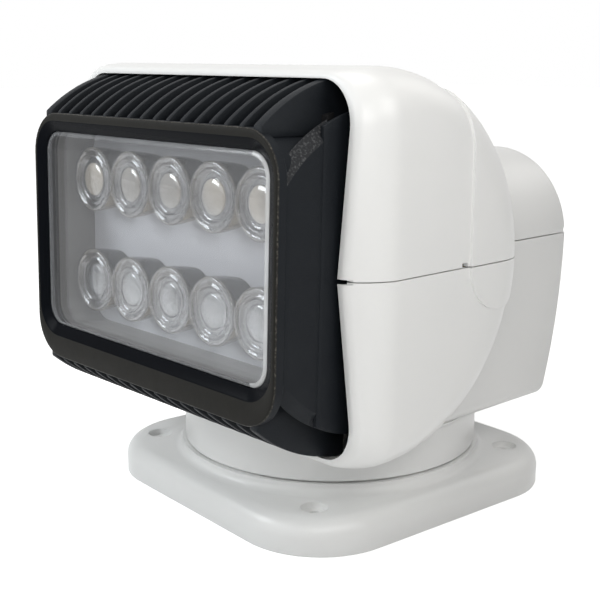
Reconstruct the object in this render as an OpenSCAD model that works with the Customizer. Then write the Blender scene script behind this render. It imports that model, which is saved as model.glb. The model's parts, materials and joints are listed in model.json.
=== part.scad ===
// Remote-control marine searchlight. A finned lamp tilts inside a two-part hood, and the
// whole head turns on a square foot. Millimetres, +Z up, the lamp looks along -Y, and the
// origin is on the pan axis at the foot's underside.

/* [Foot] */
// Side of the square foot
foot_size = 172; // [160:1:190]
// Corner radius of the foot in plan
foot_corner_r = 40; // [30:1:46]
// Thickness of the foot
foot_t = 16; // [14:0.5:18]
// Rounding of the foot's upper edge
foot_edge_r = 8; // [4:0.5:10]
// Turn of the foot under the head at rest, degrees
foot_turn = -3.5; // [-20:0.5:20]
// Height of the collar above the foot
collar_h = 5; // [3:0.5:7]
// Width of the collar's ledge outside the neck
collar_ledge = 1.6; // [1:0.1:4]
// Concave fillet between collar and foot
collar_fillet = 4; // [2:0.5:5]
// Circle through the four mounting holes
bolt_circle_d = 177.5; // [170:0.5:182]
// Mounting hole diameter
bolt_hole_d = 6; // [5:0.1:7]
// Counterbore diameter of a mounting hole
counterbore_d = 12; // [10:0.5:14]
// Counterbore depth of a mounting hole
counterbore_depth = 3; // [2:0.5:5]
// Height of the gear seat above the foot
gear_seat_h = 4; // [3:0.5:5]

/* [Head] */
// Overall width of the head
head_w = 208; // [204:1:214]
// Outer radius of the drum round the tilt axis
drum_r = 81.5; // [80:0.5:83]
// Rounding between the drum and its flat sides
drum_edge_r = 20; // [14:0.5:24]
// Wall of the two housings
shell_t = 2.5; // [2:0.1:3]
// Height of the tilt axis and of the seam
axis_z = 123.5; // [122:0.5:126]
// Distance of the tilt axis ahead of the pan axis
axis_ahead = 61; // [60:0.5:62]
// Diameter of the neck
neck_d = 146.6; // [140:0.2:148]
// Gap between the neck and the collar
neck_gap = 0.6; // [0.3:0.1:1.2]
// Front rim ahead of the tilt axis, at the seam
rim_ahead = 22.5; // [18:0.5:25]
// Lean of the upper rim, degrees
rim_lean_up = 3; // [0:0.5:8]
// Lean of the lower rim, degrees
rim_lean_down = 3.6; // [0:0.1:8]
// Radius of the bend that turns the sides in towards the rim
roll_r = 14; // [8:0.5:18]
// How far behind the rim the sides begin to turn in
roll_back = 17.5; // [14:0.5:19]
// Step on each side from the drum in to the rear body
rear_step = 27; // [25:0.5:31]
// Rounding of the rear body's upper edges
rear_top_r = 42; // [30:1:46]
// Top of the rear body
rear_top_z = 163.5; // [158:0.5:168]
// Rear wall behind the pan axis
rear_back = 90; // [88:0.5:96]
// Radius of the rear wall's sweep below the seam
rear_sweep_r = 253; // [240:1:400]
// Rounding of the rear body's other edges
rear_edge_r = 5; // [3:0.5:8]
// How far the cover over the tilt gear stands proud
pad_proud = 1.2; // [0.6:0.1:2]
// Half width of that cover
pad_r = 20.5; // [18:0.5:23]
// Open gap of the seam between the housings
seam_gap = 0.5; // [0.2:0.1:1]
// Width of a seam notch
notch_w = 4.5; // [3:0.5:6]
// Height of a seam notch
notch_h = 3; // [2:0.5:4]

/* [Lamp] */
// Nose-up tilt of the lamp at rest, degrees
lamp_tilt = 1.5; // [0:0.5:5]
// Running gap between the lamp and the hood
lamp_clear = 0.8; // [0.5:0.1:1.5]
// Front of the bezel ahead of the tilt axis, as a share of the lamp's radius
front_share = 0.671; // [0.65:0.001:0.69]
// Room on each side between the hood's outer side and the lamp
side_room = 16.8; // [16:0.1:18]
// Corner radius of the bezel's front
bezel_corner_r = 19; // [14:0.5:22]
// Thickness of the bezel's front lip
lip_t = 5; // [4.5:0.1:6]
// Depth of the bezel behind its front
bezel_depth = 22.5; // [21:0.5:24]
// Radius of the lamp's side cheeks round the tilt axis
cheek_r = 66; // [64:0.5:67]
// Slope that thins the cheeks towards their round edge
cheek_slope = 5.2; // [2:0.1:7]
// Gap between the lamp's side panels and its trunnions
panel_gap = 5; // [3:0.5:9]
// Bezel beside the clear window on each side
window_side = 7.2; // [6.8:0.1:9]
// Bezel above the clear window
window_above = 8.5; // [8:0.1:10]
// Corner radius of the window
window_r = 10; // [7:0.5:12]
// Window centre above the tilt axis
window_rise = 3.4; // [2:0.2:4]
// Recess of the window behind the bezel's front
window_recess = 2.2; // [1.5:0.1:3]
// Slope of the bezel's inner bevel, measured across it
bevel_w = 4.5; // [3:0.1:5]
// Number of cooling fins
fin_count = 17; // [13:2:19]
// Distance of the end fins from the core's sides
fin_margin = 5.6; // [3:0.1:7]
// Thickness of a fin
fin_t = 2.6; // [2:0.1:3.4]
// Thickness of the two end fins
end_fin_t = 5; // [4:0.2:5.6]
// Number of lens columns
optic_cols = 5; // [4:1:5]
// Space beside the outer lens columns
optic_margin = 5; // [3:0.5:8]
// Space above the upper lens row
optic_above = 7.6; // [5:0.1:9]
// Gap between neighbouring lenses
optic_gap = 1.2; // [0.6:0.1:3]
// Height of one lens
optic_h = 12.5; // [11:0.5:18]

/* [Drive] */
// Tooth module of the pan gears
pan_module = 2; // [2:0.5:2]
// Teeth of the fixed pan gear
pan_teeth = 40; // [36:4:40]
// Teeth of the pan pinion
pan_pinion_teeth = 12; // [12:4:12]
// Tooth module of the tilt gears
tilt_module = 1.5; // [1.5:0.5:1.5]
// Teeth that a full circle of the tilt sector would have
sector_teeth = 64; // [64:2:64]
// Teeth of the tilt pinion
tilt_pinion_teeth = 16; // [16:2:16]
// Play taken off each tooth flank
mesh_play = 0.14; // [0.1:0.01:0.2]
// Face width of the pan gear
pan_gear_t = 7; // [5:0.5:8]
// Thickness of the tilt sector
sector_t = 5; // [4:0.5:6]
// Diameter of the hollow spindle
spindle_d = 28; // [26:0.5:30]
// Bore of the hollow spindle
spindle_bore_d = 18; // [14:0.5:19]
// Cable hole in the grommet
cable_d = 8; // [6:0.5:10]
// Diameter of a trunnion pin
trunnion_d = 10; // [8:0.5:11]
// Radial running clearance of the plain bearings
bearing_clear = 0.05; // [0.02:0.01:0.08]

/* [Hidden] */
$fn = 96;
eps = 0.01;
big = 400;
touch = 0.1;

axis_y = -axis_ahead;
seam_z = axis_z;
half_w = head_w / 2;
underside_z = axis_z - drum_r;
rear_lift = 0.4;
rear_low_z = underside_z + rear_lift;
floor_z = rear_low_z + shell_t;
foot_half = foot_size / 2;
foot_centre = foot_half - foot_corner_r;
collar_top = foot_t + collar_h;
neck_r = neck_d / 2;
collar_r = neck_r + collar_ledge;
rim_y = axis_y - rim_ahead;
roll_y = rim_y + roll_back;
rear_half = half_w - rear_step;
rear_w = 2 * rear_half;

bezel_half = half_w - side_room;
bezel_w = 2 * bezel_half;
lamp_r = drum_r - shell_t - lamp_clear;
lamp_front = front_share * lamp_r;
lamp_half_h = sqrt(lamp_r * lamp_r - lamp_front * lamp_front);
front_y = -lamp_front;
lip_back_y = front_y + lip_t;
crease_y = front_y + bezel_depth;
flange_t = 5;
core_back_y = 9;
core_half_h = lamp_half_h - 15;
panel_t = 2;
sector_gap = 0.2;
core_half_w = bezel_half - panel_t - sector_gap - sector_t;
fin_back_y = -4;
fin_pitch = 2 * (core_half_w - fin_margin) / (fin_count - 1);
window_w = bezel_w - 2 * window_side;
window_h = 2 * (lamp_half_h - window_rise - window_above);
optic_pitch = (window_w - 2 * optic_margin) / optic_cols;
optic_d = optic_pitch - optic_gap;
row_pitch = window_h - 2 * optic_above - optic_d;

lens_flange = 3.2;
lens_flange_t = 2;
lens_flange_y = lip_back_y;
gasket_t = 1.5;
gasket_y = lens_flange_y + lens_flange_t;
board_t = 1.6;
board_y = gasket_y + 22;
tray_y = gasket_y + gasket_t;
tray_t = 2;
tray_fit = 0.2;
chamber_w = window_w + 2 * lens_flange;
chamber_h = window_h + 2 * lens_flange;
chamber_wall = 2.4;
chamber_r = window_r + lens_flange;
pocket_floor_y = board_y + board_t;
emitter_t = 1.2;
emitter_w = 5;

spindle_r = spindle_d / 2;
spindle_flange_r = spindle_r + 10;
spindle_flange_t = 4;
spindle_seat_z = 10;
spindle_base_z = spindle_seat_z - spindle_flange_t;
gear_z = foot_t + gear_seat_h;
gear_top_z = gear_z + pan_gear_t;
thrust_t = 1.5;
hub_z = gear_top_z + thrust_t + touch;
hub_r = spindle_r + 10;
bush_wall = 3;
clamp_t = 1.5;
clamp_z = floor_z + touch;
nut_z = clamp_z + clamp_t;
nut_h = 5;
spindle_top_z = nut_z + nut_h + 1;

pan_r = pan_module * pan_teeth / 2;
pan_pinion_r = pan_module * pan_pinion_teeth / 2;
pan_motor_y = pan_r + pan_pinion_r;
pan_pinion_over = 0.5;
tilt_r = tilt_module * sector_teeth / 2;
tilt_pinion_r = tilt_module * tilt_pinion_teeth / 2;
tilt_reach = tilt_r + tilt_pinion_r;
tilt_motor_y = axis_y + tilt_reach;
sector_x = core_half_w;
shaft_r = 3;
tilt_pinion_over = 0.5;
tilt_low = 60;
tilt_high = 75;
sector_margin = 10;

trunnion_r = trunnion_d / 2;
panel_back_y = -trunnion_r - panel_gap;
trunnion_in = 12;
bush_r = trunnion_r + 4;
boss_gap = 3;
boss_x = bezel_half + boss_gap;
boss_r = bush_r + 4;
boss_web = 1.3;
bush_len = half_w - shell_t - boss_web - boss_x;

screw_r = 2;
screw_head_r = 3.8;
screw_head_h = 2.4;
motor_r = 14;
motor_len = 46;
bracket_t = 3;
bracket_gap = 9.5;
bracket_x = sector_x - tilt_pinion_over - bracket_gap - bracket_t;
bracket_leg_y = axis_y + drum_r + 0.5;
bracket_leg_w = 15;
bracket_screw_ring = neck_r - shell_t - screw_head_r - 1;
bracket_screw_x = sqrt(pow(bracket_screw_ring, 2) - pow(bracket_leg_y + bracket_leg_w, 2)) - 2;
bracket_foot_x = bracket_screw_x - 5;
bracket_foot = bracket_x + bracket_t - bracket_foot_x;

pan_motor_r = 15;
pan_box_h = 22;
pan_can_h = 34;

column_r = 7;
column_pilot = 12;
column_over = 14;
column_places = [
    [half_w - shell_t - column_r + 0.5, axis_y + 27],
    [rear_half - shell_t - column_r + 0.5, rear_back - 26]
];

circuit_y = rear_back - 14;
circuit_w = 90;
circuit_z0 = 70;
circuit_z1 = 118;
circuit_t = 1.6;
circuit_inset = 6;

white_plastic = [0.93, 0.93, 0.91];
black_cast = [0.10, 0.10, 0.11];
steel = [0.70, 0.71, 0.73];
brass = [0.78, 0.62, 0.30];
acetal = [0.90, 0.89, 0.84];
rubber = [0.08, 0.08, 0.08];
clear = [0.86, 0.90, 0.93];

optic_names = [for (i = [1 : 2 * optic_cols]) str("optic_", i)];

// Helpers

// Turns a YZ outline into a slab along X, centred on the middle plane
module along_x(width) {
    rotate([90, 0, 90]) linear_extrude(width, center = true) children();
}

// Turns an XZ outline into a slab along Y, from y0 to y1
module along_y(y0, y1) {
    translate([0, y1, 0]) rotate([90, 0, 0]) linear_extrude(y1 - y0) children();
}

// A cylinder along X from x0 to x1
module rod_x(r, x0, x1) {
    translate([x0, 0, 0]) rotate([0, 90, 0]) cylinder(r = r, h = x1 - x0);
}

// A cylinder along Y from y0 to y1
module rod_y(r, y0, y1) {
    translate([0, y1, 0]) rotate([90, 0, 0]) cylinder(r = r, h = y1 - y0);
}

// A rectangle with round corners, centred
module round_rect(w, h, r) {
    square([w - 2 * r, h], center = true);
    square([w, h - 2 * r], center = true);
    for (x = [-1, 1], y = [-1, 1])
        translate([x * (w / 2 - r), y * (h / 2 - r)]) circle(r);
}

// Puts the lamp's own frame, with its origin on the tilt axis, into the head
module in_lamp() {
    translate([0, axis_y, axis_z]) rotate([-lamp_tilt, 0, 0]) children();
}

module at_axis() {
    translate([0, axis_y, axis_z]) children();
}

module on_foot() {
    rotate([0, 0, foot_turn]) children();
}

// A pan-head screw pointing up, with its head's underside at z = 0
module screw_up(length, r = screw_r) {
    cylinder(r = r, h = length);
    difference() {
        translate([0, 0, -screw_head_h]) cylinder(r = screw_head_r * r / screw_r, h = screw_head_h);
        translate([0, 0, -screw_head_h - eps]) cylinder(r = r * 0.8, h = screw_head_h * 0.6, $fn = 6);
    }
}

// Involute gears

function involute_of(angle) = tan(angle) * 180 / PI - angle;

function half_tooth(r, pitch_r, base_r, teeth, play) =
    90 / teeth - play / pitch_r * 180 / PI + involute_of(20) - involute_of(acos(min(1, base_r / r)));

function polar(r, a) = [r * cos(a), r * sin(a)];

function tooth_outline(m, teeth, play, steps = 4) =
    let (pitch_r = m * teeth / 2,
         base_r = pitch_r * cos(20),
         root_r = pitch_r - 1.25 * m,
         start_r = max(base_r, root_r),
         tip_r = pitch_r + m,
         radii = [for (i = [0 : steps]) start_r + (tip_r - start_r) * i / steps],
         half = [for (r = radii) half_tooth(r, pitch_r, base_r, teeth, play)])
    concat([polar(root_r, -half[0])],
           [for (i = [0 : steps]) polar(radii[i], -half[i])],
           [for (i = [steps : -1 : 0]) polar(radii[i], half[i])],
           [polar(root_r, half[0])]);

function turned(points, a) =
    [for (p = points) [p[0] * cos(a) - p[1] * sin(a), p[0] * sin(a) + p[1] * cos(a)]];

function gear_outline(m, teeth, play) =
    let (tooth = tooth_outline(m, teeth, play))
    [for (i = [0 : teeth - 1], p = turned(tooth, 360 * i / teeth)) p];

// Foot

// Half of a bar's cross-section with a rounded upper edge
module rounded_top(half, tall, r) {
    translate([-half, 0]) square([2 * half, tall - r]);
    translate([-half + r, 0]) square([2 * (half - r), tall]);
    for (s = [-1, 1]) translate([s * (half - r), tall - r]) circle(r);
}

module rounded_puck(r, tall, edge) {
    rotate_extrude() intersection() {
        rounded_top(r, tall, edge);
        square([r, tall]);
    }
}

module foot_form() {
    for (x = [-1, 1], y = [-1, 1])
        translate([x * foot_centre, y * foot_centre, 0])
            rounded_puck(foot_corner_r, foot_t, foot_edge_r);
    for (a = [0, 90])
        rotate([0, 0, a]) along_x(2 * foot_centre) rounded_top(foot_half, foot_t, foot_edge_r);
}

module collar_form() {
    cylinder(r = collar_r, h = collar_top);
    rotate_extrude() difference() {
        translate([collar_r - eps, foot_t - eps]) square(collar_fillet + eps);
        translate([collar_r + collar_fillet, foot_t + collar_fillet]) circle(collar_fillet);
    }
}

seal_gap = 0.4;
collar_inner_r = neck_r - shell_t - seal_gap;
seal_w = 3;
gear_screw_r = 1.5;
gear_screw_ring = hub_r - 3;
spindle_screw_ring = spindle_flange_r - 5;
gear_seat_r = pan_r - pan_module * 3;

module base_plate() {
    color(white_plastic) on_foot() difference() {
        union() {
            foot_form();
            difference() {
                collar_form();
                translate([0, 0, foot_t]) cylinder(r = collar_inner_r, h = big);
            }
            cylinder(r = gear_seat_r, h = gear_z);
        }
        translate([0, 0, -eps]) cylinder(r = spindle_r, h = big);
        translate([0, 0, -eps]) cylinder(r = spindle_flange_r + 0.4, h = spindle_seat_z + eps);
        for (a = [45 : 90 : 315]) rotate([0, 0, a]) translate([bolt_circle_d / 2, 0, 0]) {
            translate([0, 0, -eps]) cylinder(d = bolt_hole_d, h = big);
            translate([0, 0, foot_t - counterbore_depth]) cylinder(d = counterbore_d, h = big);
        }
        spindle_screw_places() translate([0, 0, spindle_base_z]) cylinder(r = screw_r, h = 9);
        gear_screw_places() translate([0, 0, gear_z - 7]) cylinder(r = gear_screw_r, h = big);
    }
}

module spindle_screw_places() {
    for (a = [0 : 90 : 270]) rotate([0, 0, a]) translate([spindle_screw_ring, 0, 0]) children();
}

module gear_screw_places() {
    for (a = [40 : 120 : 280]) rotate([0, 0, a - foot_turn]) translate([gear_screw_ring, 0, 0]) children();
}

module pan_spindle() {
    color(steel) on_foot() difference() {
        union() {
            translate([0, 0, spindle_base_z]) cylinder(r = spindle_r, h = spindle_top_z - spindle_base_z);
            translate([0, 0, spindle_base_z]) cylinder(r = spindle_flange_r, h = spindle_flange_t);
        }
        translate([0, 0, -eps]) cylinder(d = spindle_bore_d, h = big);
        spindle_screw_places() cylinder(r = screw_r, h = big);
    }
}

module spindle_screws() {
    color(steel) on_foot() spindle_screw_places() translate([0, 0, spindle_base_z]) screw_up(8.5);
}

module pan_gear() {
    color(acetal) difference() {
        translate([0, 0, gear_z]) linear_extrude(pan_gear_t)
            polygon(gear_outline(pan_module, pan_teeth, mesh_play));
        cylinder(r = spindle_r, h = big);
        on_foot() gear_screw_places() cylinder(r = gear_screw_r, h = big);
        on_foot() gear_screw_places() translate([0, 0, gear_top_z - 2.5])
            cylinder(r = screw_head_r * gear_screw_r / screw_r, h = big);
    }
}

module gear_screws() {
    color(steel) on_foot() gear_screw_places() translate([0, 0, gear_top_z - 2.5])
        mirror([0, 0, 1]) screw_up(9, gear_screw_r);
}

module washer(r0, r1, z, t) {
    translate([0, 0, z]) difference() {
        cylinder(r = r1, h = t);
        translate([0, 0, -eps]) cylinder(r = r0, h = t + 2 * eps);
    }
}

module thrust_washer() {
    color(acetal) washer(spindle_r, hub_r, gear_top_z, thrust_t);
}

module clamp_washer() {
    color(steel) washer(spindle_r, hub_r - 2, clamp_z, clamp_t);
}

module spindle_nut() {
    color(brass) translate([0, 0, nut_z]) difference() {
        cylinder(r = hub_r - 4, h = nut_h, $fn = 6);
        translate([0, 0, -eps]) cylinder(r = spindle_r, h = big);
    }
}

module pan_seal() {
    color(rubber) washer(collar_inner_r - seal_w, collar_inner_r, foot_t, collar_h + 1);
}

grommet_flange_r = spindle_bore_d / 2 + 3;
grommet_flange_t = 3;
grommet_len = 12;

module cable_grommet() {
    color(rubber) difference() {
        union() {
            translate([0, 0, spindle_base_z - grommet_flange_t])
                cylinder(r = grommet_flange_r, h = grommet_flange_t);
            translate([0, 0, spindle_base_z]) cylinder(d = spindle_bore_d, h = grommet_len);
        }
        translate([0, 0, -eps]) cylinder(d = cable_d, h = big);
    }
}

// Head

// Plan outline of the drum: straight sides that bend in towards the rim
module roll_outline(inset) {
    bend_x = half_w - roll_r;
    bend_r = roll_r - inset;
    corner = (bend_r - 0.04) * cos(45);
    reach = 60;
    for (s = [-1, 1]) translate([s * bend_x, roll_y]) circle(bend_r);
    polygon([
        [half_w - inset, big], [half_w - inset, roll_y], [bend_x + corner, roll_y - corner],
        [bend_x + corner - reach, roll_y - corner - reach],
        [-bend_x - corner + reach, roll_y - corner - reach],
        [-bend_x - corner, roll_y - corner], [-half_w + inset, roll_y], [-half_w + inset, big]]);
}

// The drum round the tilt axis, drawn in by the wall that is asked for
module drum_form(inset) {
    intersection() {
        at_axis() rotate([0, 90, 0]) rotate_extrude() intersection() {
            round_rect(2 * (drum_r - inset), 2 * (half_w - inset), drum_edge_r - inset);
            translate([0, -big]) square([big, 2 * big]);
        }
        linear_extrude(big) roll_outline(inset);
    }
}

// Cross-section of the rear body: upright sides, large upper radii, small lower ones
module rear_section(inset) {
    top = rear_top_z - inset;
    half = rear_half - inset;
    upper_r = rear_top_r - inset;
    lower_r = rear_edge_r - min(inset, rear_edge_r - 1);
    low = rear_low_z + inset;
    for (s = [-1, 1]) {
        translate([s * (half - upper_r), top - upper_r]) circle(upper_r);
        translate([s * (half - lower_r), low + lower_r]) circle(lower_r);
    }
    translate([-half + upper_r, low]) square([2 * (half - upper_r), top - low]);
    translate([-half, low + lower_r]) square([2 * half, top - upper_r - low - lower_r]);
    translate([-half + lower_r, low]) square([2 * (half - lower_r), top - upper_r - low]);
}

// Side outline of the rear body: its wall sweeps forward below the seam
module rear_side(inset) {
    back = rear_back - inset;
    intersection() {
        translate([axis_y, 0]) square([back - axis_y, big]);
        union() {
            translate([back - (rear_sweep_r - inset), seam_z]) circle(rear_sweep_r - inset, $fn = 180);
            translate([axis_y, seam_z]) square([back - axis_y, big]);
        }
    }
}

// Plan outline of the rear body with rounded rear corners
module rear_plan(inset) {
    half = rear_half - inset;
    back = rear_back - inset;
    r = rear_edge_r - min(inset, rear_edge_r - 1);
    translate([-half, axis_y]) square([2 * half, back - r - axis_y]);
    translate([-half + r, axis_y]) square([2 * (half - r), back - axis_y]);
    for (s = [-1, 1]) translate([s * (half - r), back - r]) circle(r);
}

module rear_form(inset) {
    intersection() {
        along_y(axis_y, rear_back - inset) rear_section(inset);
        along_x(rear_w + 2) rear_side(inset);
        linear_extrude(big) rear_plan(inset);
    }
}

module head_form(inset) {
    drum_form(inset);
    rear_form(inset);
}

// Everything ahead of the two leaning rims
module front_cut() {
    low = -20;
    high = 240;
    along_x(2 * big) polygon([
        [-big, low], [rim_y + (seam_z - low) * tan(rim_lean_down), low], [rim_y, seam_z],
        [rim_y + (high - seam_z) * tan(rim_lean_up), high], [-big, high]]);
}

// The slightly raised cover over the tilt gear, with a round lower end
module gear_cover() {
    intersection() {
        drum_form(-pad_proud);
        along_x(head_w + 4 * pad_proud) {
            translate([tilt_motor_y, axis_z]) circle(pad_r);
            translate([tilt_motor_y - pad_r, axis_z]) square([2 * pad_r + big, big]);
        }
    }
}

module shell_body() {
    difference() {
        union() {
            head_form(0);
            gear_cover();
        }
        head_form(shell_t);
        front_cut();
    }
}

module above_seam() {
    translate([-big, -big, seam_z + seam_gap / 2]) cube([2 * big, 2 * big, big]);
}

module below_seam() {
    translate([-big, -big, seam_z - seam_gap / 2 - big]) cube([2 * big, 2 * big, big]);
}

// Small slots in the seam: at the rim, ahead of the gear cover and at the rear corner
module seam_notches() {
    side = 2 * (half_w + 10);
    front = [rim_y - 1, tilt_motor_y - pad_r - notch_w - 0.5];
    for (y = front) translate([-side / 2, y, seam_z]) cube([side, notch_w, notch_h]);
    translate([-side / 2, rear_back - notch_w, seam_z]) cube([side, notch_w + 1, notch_h]);
}

module column_spots() {
    for (s = [-1, 1], c = column_places) translate([s * c[0], c[1], 0]) children();
}

module tilt_bosses() {
    for (s = [0, 1]) at_axis() mirror([s, 0, 0]) rod_x(boss_r, boss_x, half_w - shell_t / 2);
}

module tilt_bush_bores() {
    for (s = [0, 1]) at_axis() mirror([s, 0, 0]) rod_x(bush_r, boss_x - 1, boss_x + bush_len);
}

standoff_r = 3.5;

module standoff_spots() {
    for (x = [-1, 1], z = [circuit_z0 + circuit_inset, circuit_z1 - circuit_inset])
        translate([x * (circuit_w / 2 - circuit_inset), 0, z]) children();
}

floor_rib_h = 8;
floor_rib_t = 2.5;
floor_rib_turn = atan2(bracket_leg_y + bracket_leg_w / 2, bracket_screw_x) + 27;
pan_boss_r = 7;

module lower_housing() {
    color(white_plastic) difference() {
        union() {
            intersection() {
                shell_body();
                below_seam();
            }
            washer(neck_r - shell_t, neck_r, collar_top + neck_gap, floor_z - collar_top - neck_gap - 0.5);
            translate([0, 0, hub_z]) cylinder(r = hub_r, h = floor_z - hub_z);
            for (a = [0 : 90 : 270]) rotate([0, 0, a + floor_rib_turn])
                translate([hub_r - 1, -floor_rib_t / 2, rear_low_z - floor_rib_h])
                    cube([neck_r - shell_t / 2 - hub_r + 1, floor_rib_t, floor_rib_h + shell_t / 2]);
            intersection() {
                head_form(shell_t / 2);
                below_seam();
                union() {
                    column_spots() cylinder(r = column_r, h = seam_z);
                    tilt_bosses();
                    standoff_spots() rod_y(standoff_r, circuit_y + circuit_t, rear_back);
                }
            }
        }
        translate([0, 0, hub_z - 1]) cylinder(r = spindle_r + bearing_clear + bush_wall, h = big / 4);
        translate([0, pan_motor_y, 0]) cylinder(r = pan_boss_r, h = floor_z + 1);
        pan_motor_screw_spots() cylinder(r = screw_r, h = floor_z + 1);
        bracket_screw_spots() cylinder(r = screw_r, h = floor_z + 1);
        tilt_bush_bores();
        column_spots() {
            translate([0, 0, -eps]) cylinder(r = screw_head_r + 0.4, h = seam_z - column_pilot);
            cylinder(r = screw_r, h = big);
        }
        standoff_spots() rod_y(screw_r * 0.7, 0, circuit_y + circuit_t + 6);
    }
}

module upper_housing() {
    color(white_plastic) difference() {
        union() {
            intersection() {
                shell_body();
                above_seam();
            }
            intersection() {
                head_form(shell_t / 2);
                above_seam();
                union() {
                    column_spots() cylinder(r = column_r, h = seam_z + column_over);
                    tilt_bosses();
                }
            }
        }
        tilt_bush_bores();
        column_spots() cylinder(r = screw_r, h = seam_z + column_over - 3);
        seam_notches();
    }
}

module housing_screws() {
    color(steel) column_spots() translate([0, 0, seam_z - column_pilot]) screw_up(column_pilot + 9);
}

module pan_bush() {
    color(acetal) washer(spindle_r + bearing_clear, spindle_r + bearing_clear + bush_wall,
        hub_z, floor_z - hub_z);
}

module tilt_bush() {
    difference() {
        rod_x(bush_r, boss_x, boss_x + bush_len);
        rod_x(trunnion_r + bearing_clear, boss_x - 1, boss_x + bush_len + 1);
    }
}

module tilt_bush_left() {
    color(acetal) at_axis() mirror([1, 0, 0]) tilt_bush();
}

module tilt_bush_right() {
    color(acetal) at_axis() tilt_bush();
}

// Pan drive

pan_screw_ring = pan_motor_r - 4;

module pan_motor_screw_spots() {
    for (a = [0, 180]) translate([0, pan_motor_y, 0]) rotate([0, 0, a])
        translate([pan_screw_ring, 0, 0]) children();
}

module pan_gearmotor() {
    color(steel) difference() {
        translate([0, pan_motor_y, 0]) {
            translate([0, 0, floor_z]) cylinder(r = pan_motor_r, h = pan_box_h);
            translate([0, 0, rear_low_z]) cylinder(r = pan_boss_r, h = shell_t);
            translate([0, 0, floor_z + pan_box_h]) cylinder(r = pan_motor_r - 2.5, h = pan_can_h);
            translate([0, 0, floor_z + pan_box_h + pan_can_h]) cylinder(r = 4, h = 3);
        }
        translate([0, pan_motor_y, 0]) cylinder(r = shaft_r + bearing_clear, h = floor_z + 14);
        pan_motor_screw_spots() cylinder(r = screw_r, h = floor_z + 7);
    }
}

module pan_motor_screws() {
    color(steel) pan_motor_screw_spots() translate([0, 0, rear_low_z]) screw_up(shell_t + 6);
}

module pan_shaft() {
    color(steel) translate([0, pan_motor_y, gear_z - pan_pinion_over])
        cylinder(r = shaft_r, h = floor_z + 13 - gear_z);
}

module pan_pinion() {
    color(brass) translate([0, pan_motor_y, gear_z - pan_pinion_over]) difference() {
        rotate([0, 0, 180 / pan_pinion_teeth + 270]) linear_extrude(pan_gear_t + 2 * pan_pinion_over)
            polygon(gear_outline(pan_module, pan_pinion_teeth, mesh_play));
        translate([0, 0, -eps]) cylinder(r = shaft_r, h = big);
    }
}

// Tilt drive

module at_tilt_motor() {
    translate([0, tilt_motor_y, axis_z]) children();
}

module tilt_motor_screw_spots() {
    for (a = [0, 180]) at_tilt_motor() rotate([a, 0, 0]) translate([0, 0, motor_r - 4.5]) children();
}

module tilt_gearmotor() {
    box_len = 20;
    color(steel) difference() {
        at_tilt_motor() {
            rod_x(motor_r, bracket_x - box_len, bracket_x);
            rod_x(motor_r - 2, bracket_x - motor_len, bracket_x - box_len);
            rod_x(4, bracket_x - motor_len - 3, bracket_x - motor_len);
            rod_x(shaft_r + 2.5, bracket_x, bracket_x + bracket_t);
        }
        at_tilt_motor() rod_x(shaft_r + bearing_clear, bracket_x - 14, bracket_x + bracket_t + 1);
        tilt_motor_screw_spots() rod_x(gear_screw_r, bracket_x - 6, bracket_x + 1);
    }
}

bracket_half = motor_r + 0.5;

module bracket_screw_spots() {
    for (y = [3.2, bracket_leg_w - 3.2])
        translate([bracket_screw_x, bracket_leg_y + y, 0]) children();
}

module tilt_bracket() {
    color(steel) difference() {
        union() {
            translate([bracket_x + bracket_t / 2, 0, 0]) along_x(bracket_t) {
                translate([tilt_motor_y, axis_z]) circle(bracket_half);
                translate([tilt_motor_y, axis_z - bracket_half])
                    square([bracket_leg_y + bracket_leg_w - tilt_motor_y, 2 * bracket_half]);
                translate([bracket_leg_y, floor_z])
                    square([bracket_leg_w, axis_z - floor_z]);
            }
            translate([bracket_foot_x, bracket_leg_y, floor_z])
                cube([bracket_foot, bracket_leg_w, bracket_t]);
        }
        at_tilt_motor() rod_x(shaft_r + 2.5, bracket_x - 1, bracket_x + bracket_t + 1);
        tilt_motor_screw_spots() rod_x(gear_screw_r, bracket_x - 1, bracket_x + bracket_t + 1);
        bracket_screw_spots() cylinder(r = screw_r, h = floor_z + bracket_t + 1);
    }
}

module tilt_motor_screws() {
    color(steel) tilt_motor_screw_spots() translate([bracket_x + bracket_t, 0, 0]) rotate([0, -90, 0])
        screw_up(bracket_t + 5, gear_screw_r);
}

module bracket_screws() {
    color(steel) bracket_screw_spots() translate([0, 0, rear_low_z]) screw_up(shell_t + bracket_t + 2);
}

tilt_shaft_end = sector_x + sector_t + tilt_pinion_over;

module tilt_shaft() {
    color(steel) at_tilt_motor() rod_x(shaft_r, bracket_x - 13, tilt_shaft_end);
}

module tilt_pinion() {
    color(brass) at_tilt_motor() difference() {
        translate([sector_x + sector_t / 2, 0, 0]) along_x(sector_t + 2 * tilt_pinion_over)
            rotate(180 / tilt_pinion_teeth)
                polygon(gear_outline(tilt_module, tilt_pinion_teeth, mesh_play));
        rod_x(shaft_r, 0, big);
    }
}

// Control board

module control_board() {
    color([0.10, 0.32, 0.18]) difference() {
        translate([-circuit_w / 2, circuit_y, circuit_z0])
            cube([circuit_w, circuit_t, circuit_z1 - circuit_z0]);
        standoff_spots() rod_y(screw_r * 0.7, circuit_y - 1, circuit_y + circuit_t + 1);
    }
}

module board_components() {
    mid = (circuit_z0 + circuit_z1) / 2;
    color([0.15, 0.15, 0.17]) {
        translate([-30, circuit_y - 5, mid - 8]) cube([16, 5, 16]);
        translate([20, circuit_y - 6, mid + 2]) cube([12, 6, 10]);
        translate([20, circuit_y - 6, mid - 13]) cube([12, 6, 10]);
        translate([-5, 0, mid + 6]) rod_y(4, circuit_y - 5.5, circuit_y);
        translate([6, 0, mid + 6]) rod_y(4, circuit_y - 5.5, circuit_y);
        translate([-8, circuit_y - 2, mid - 12]) cube([14, 2, 10]);
    }
}

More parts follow.
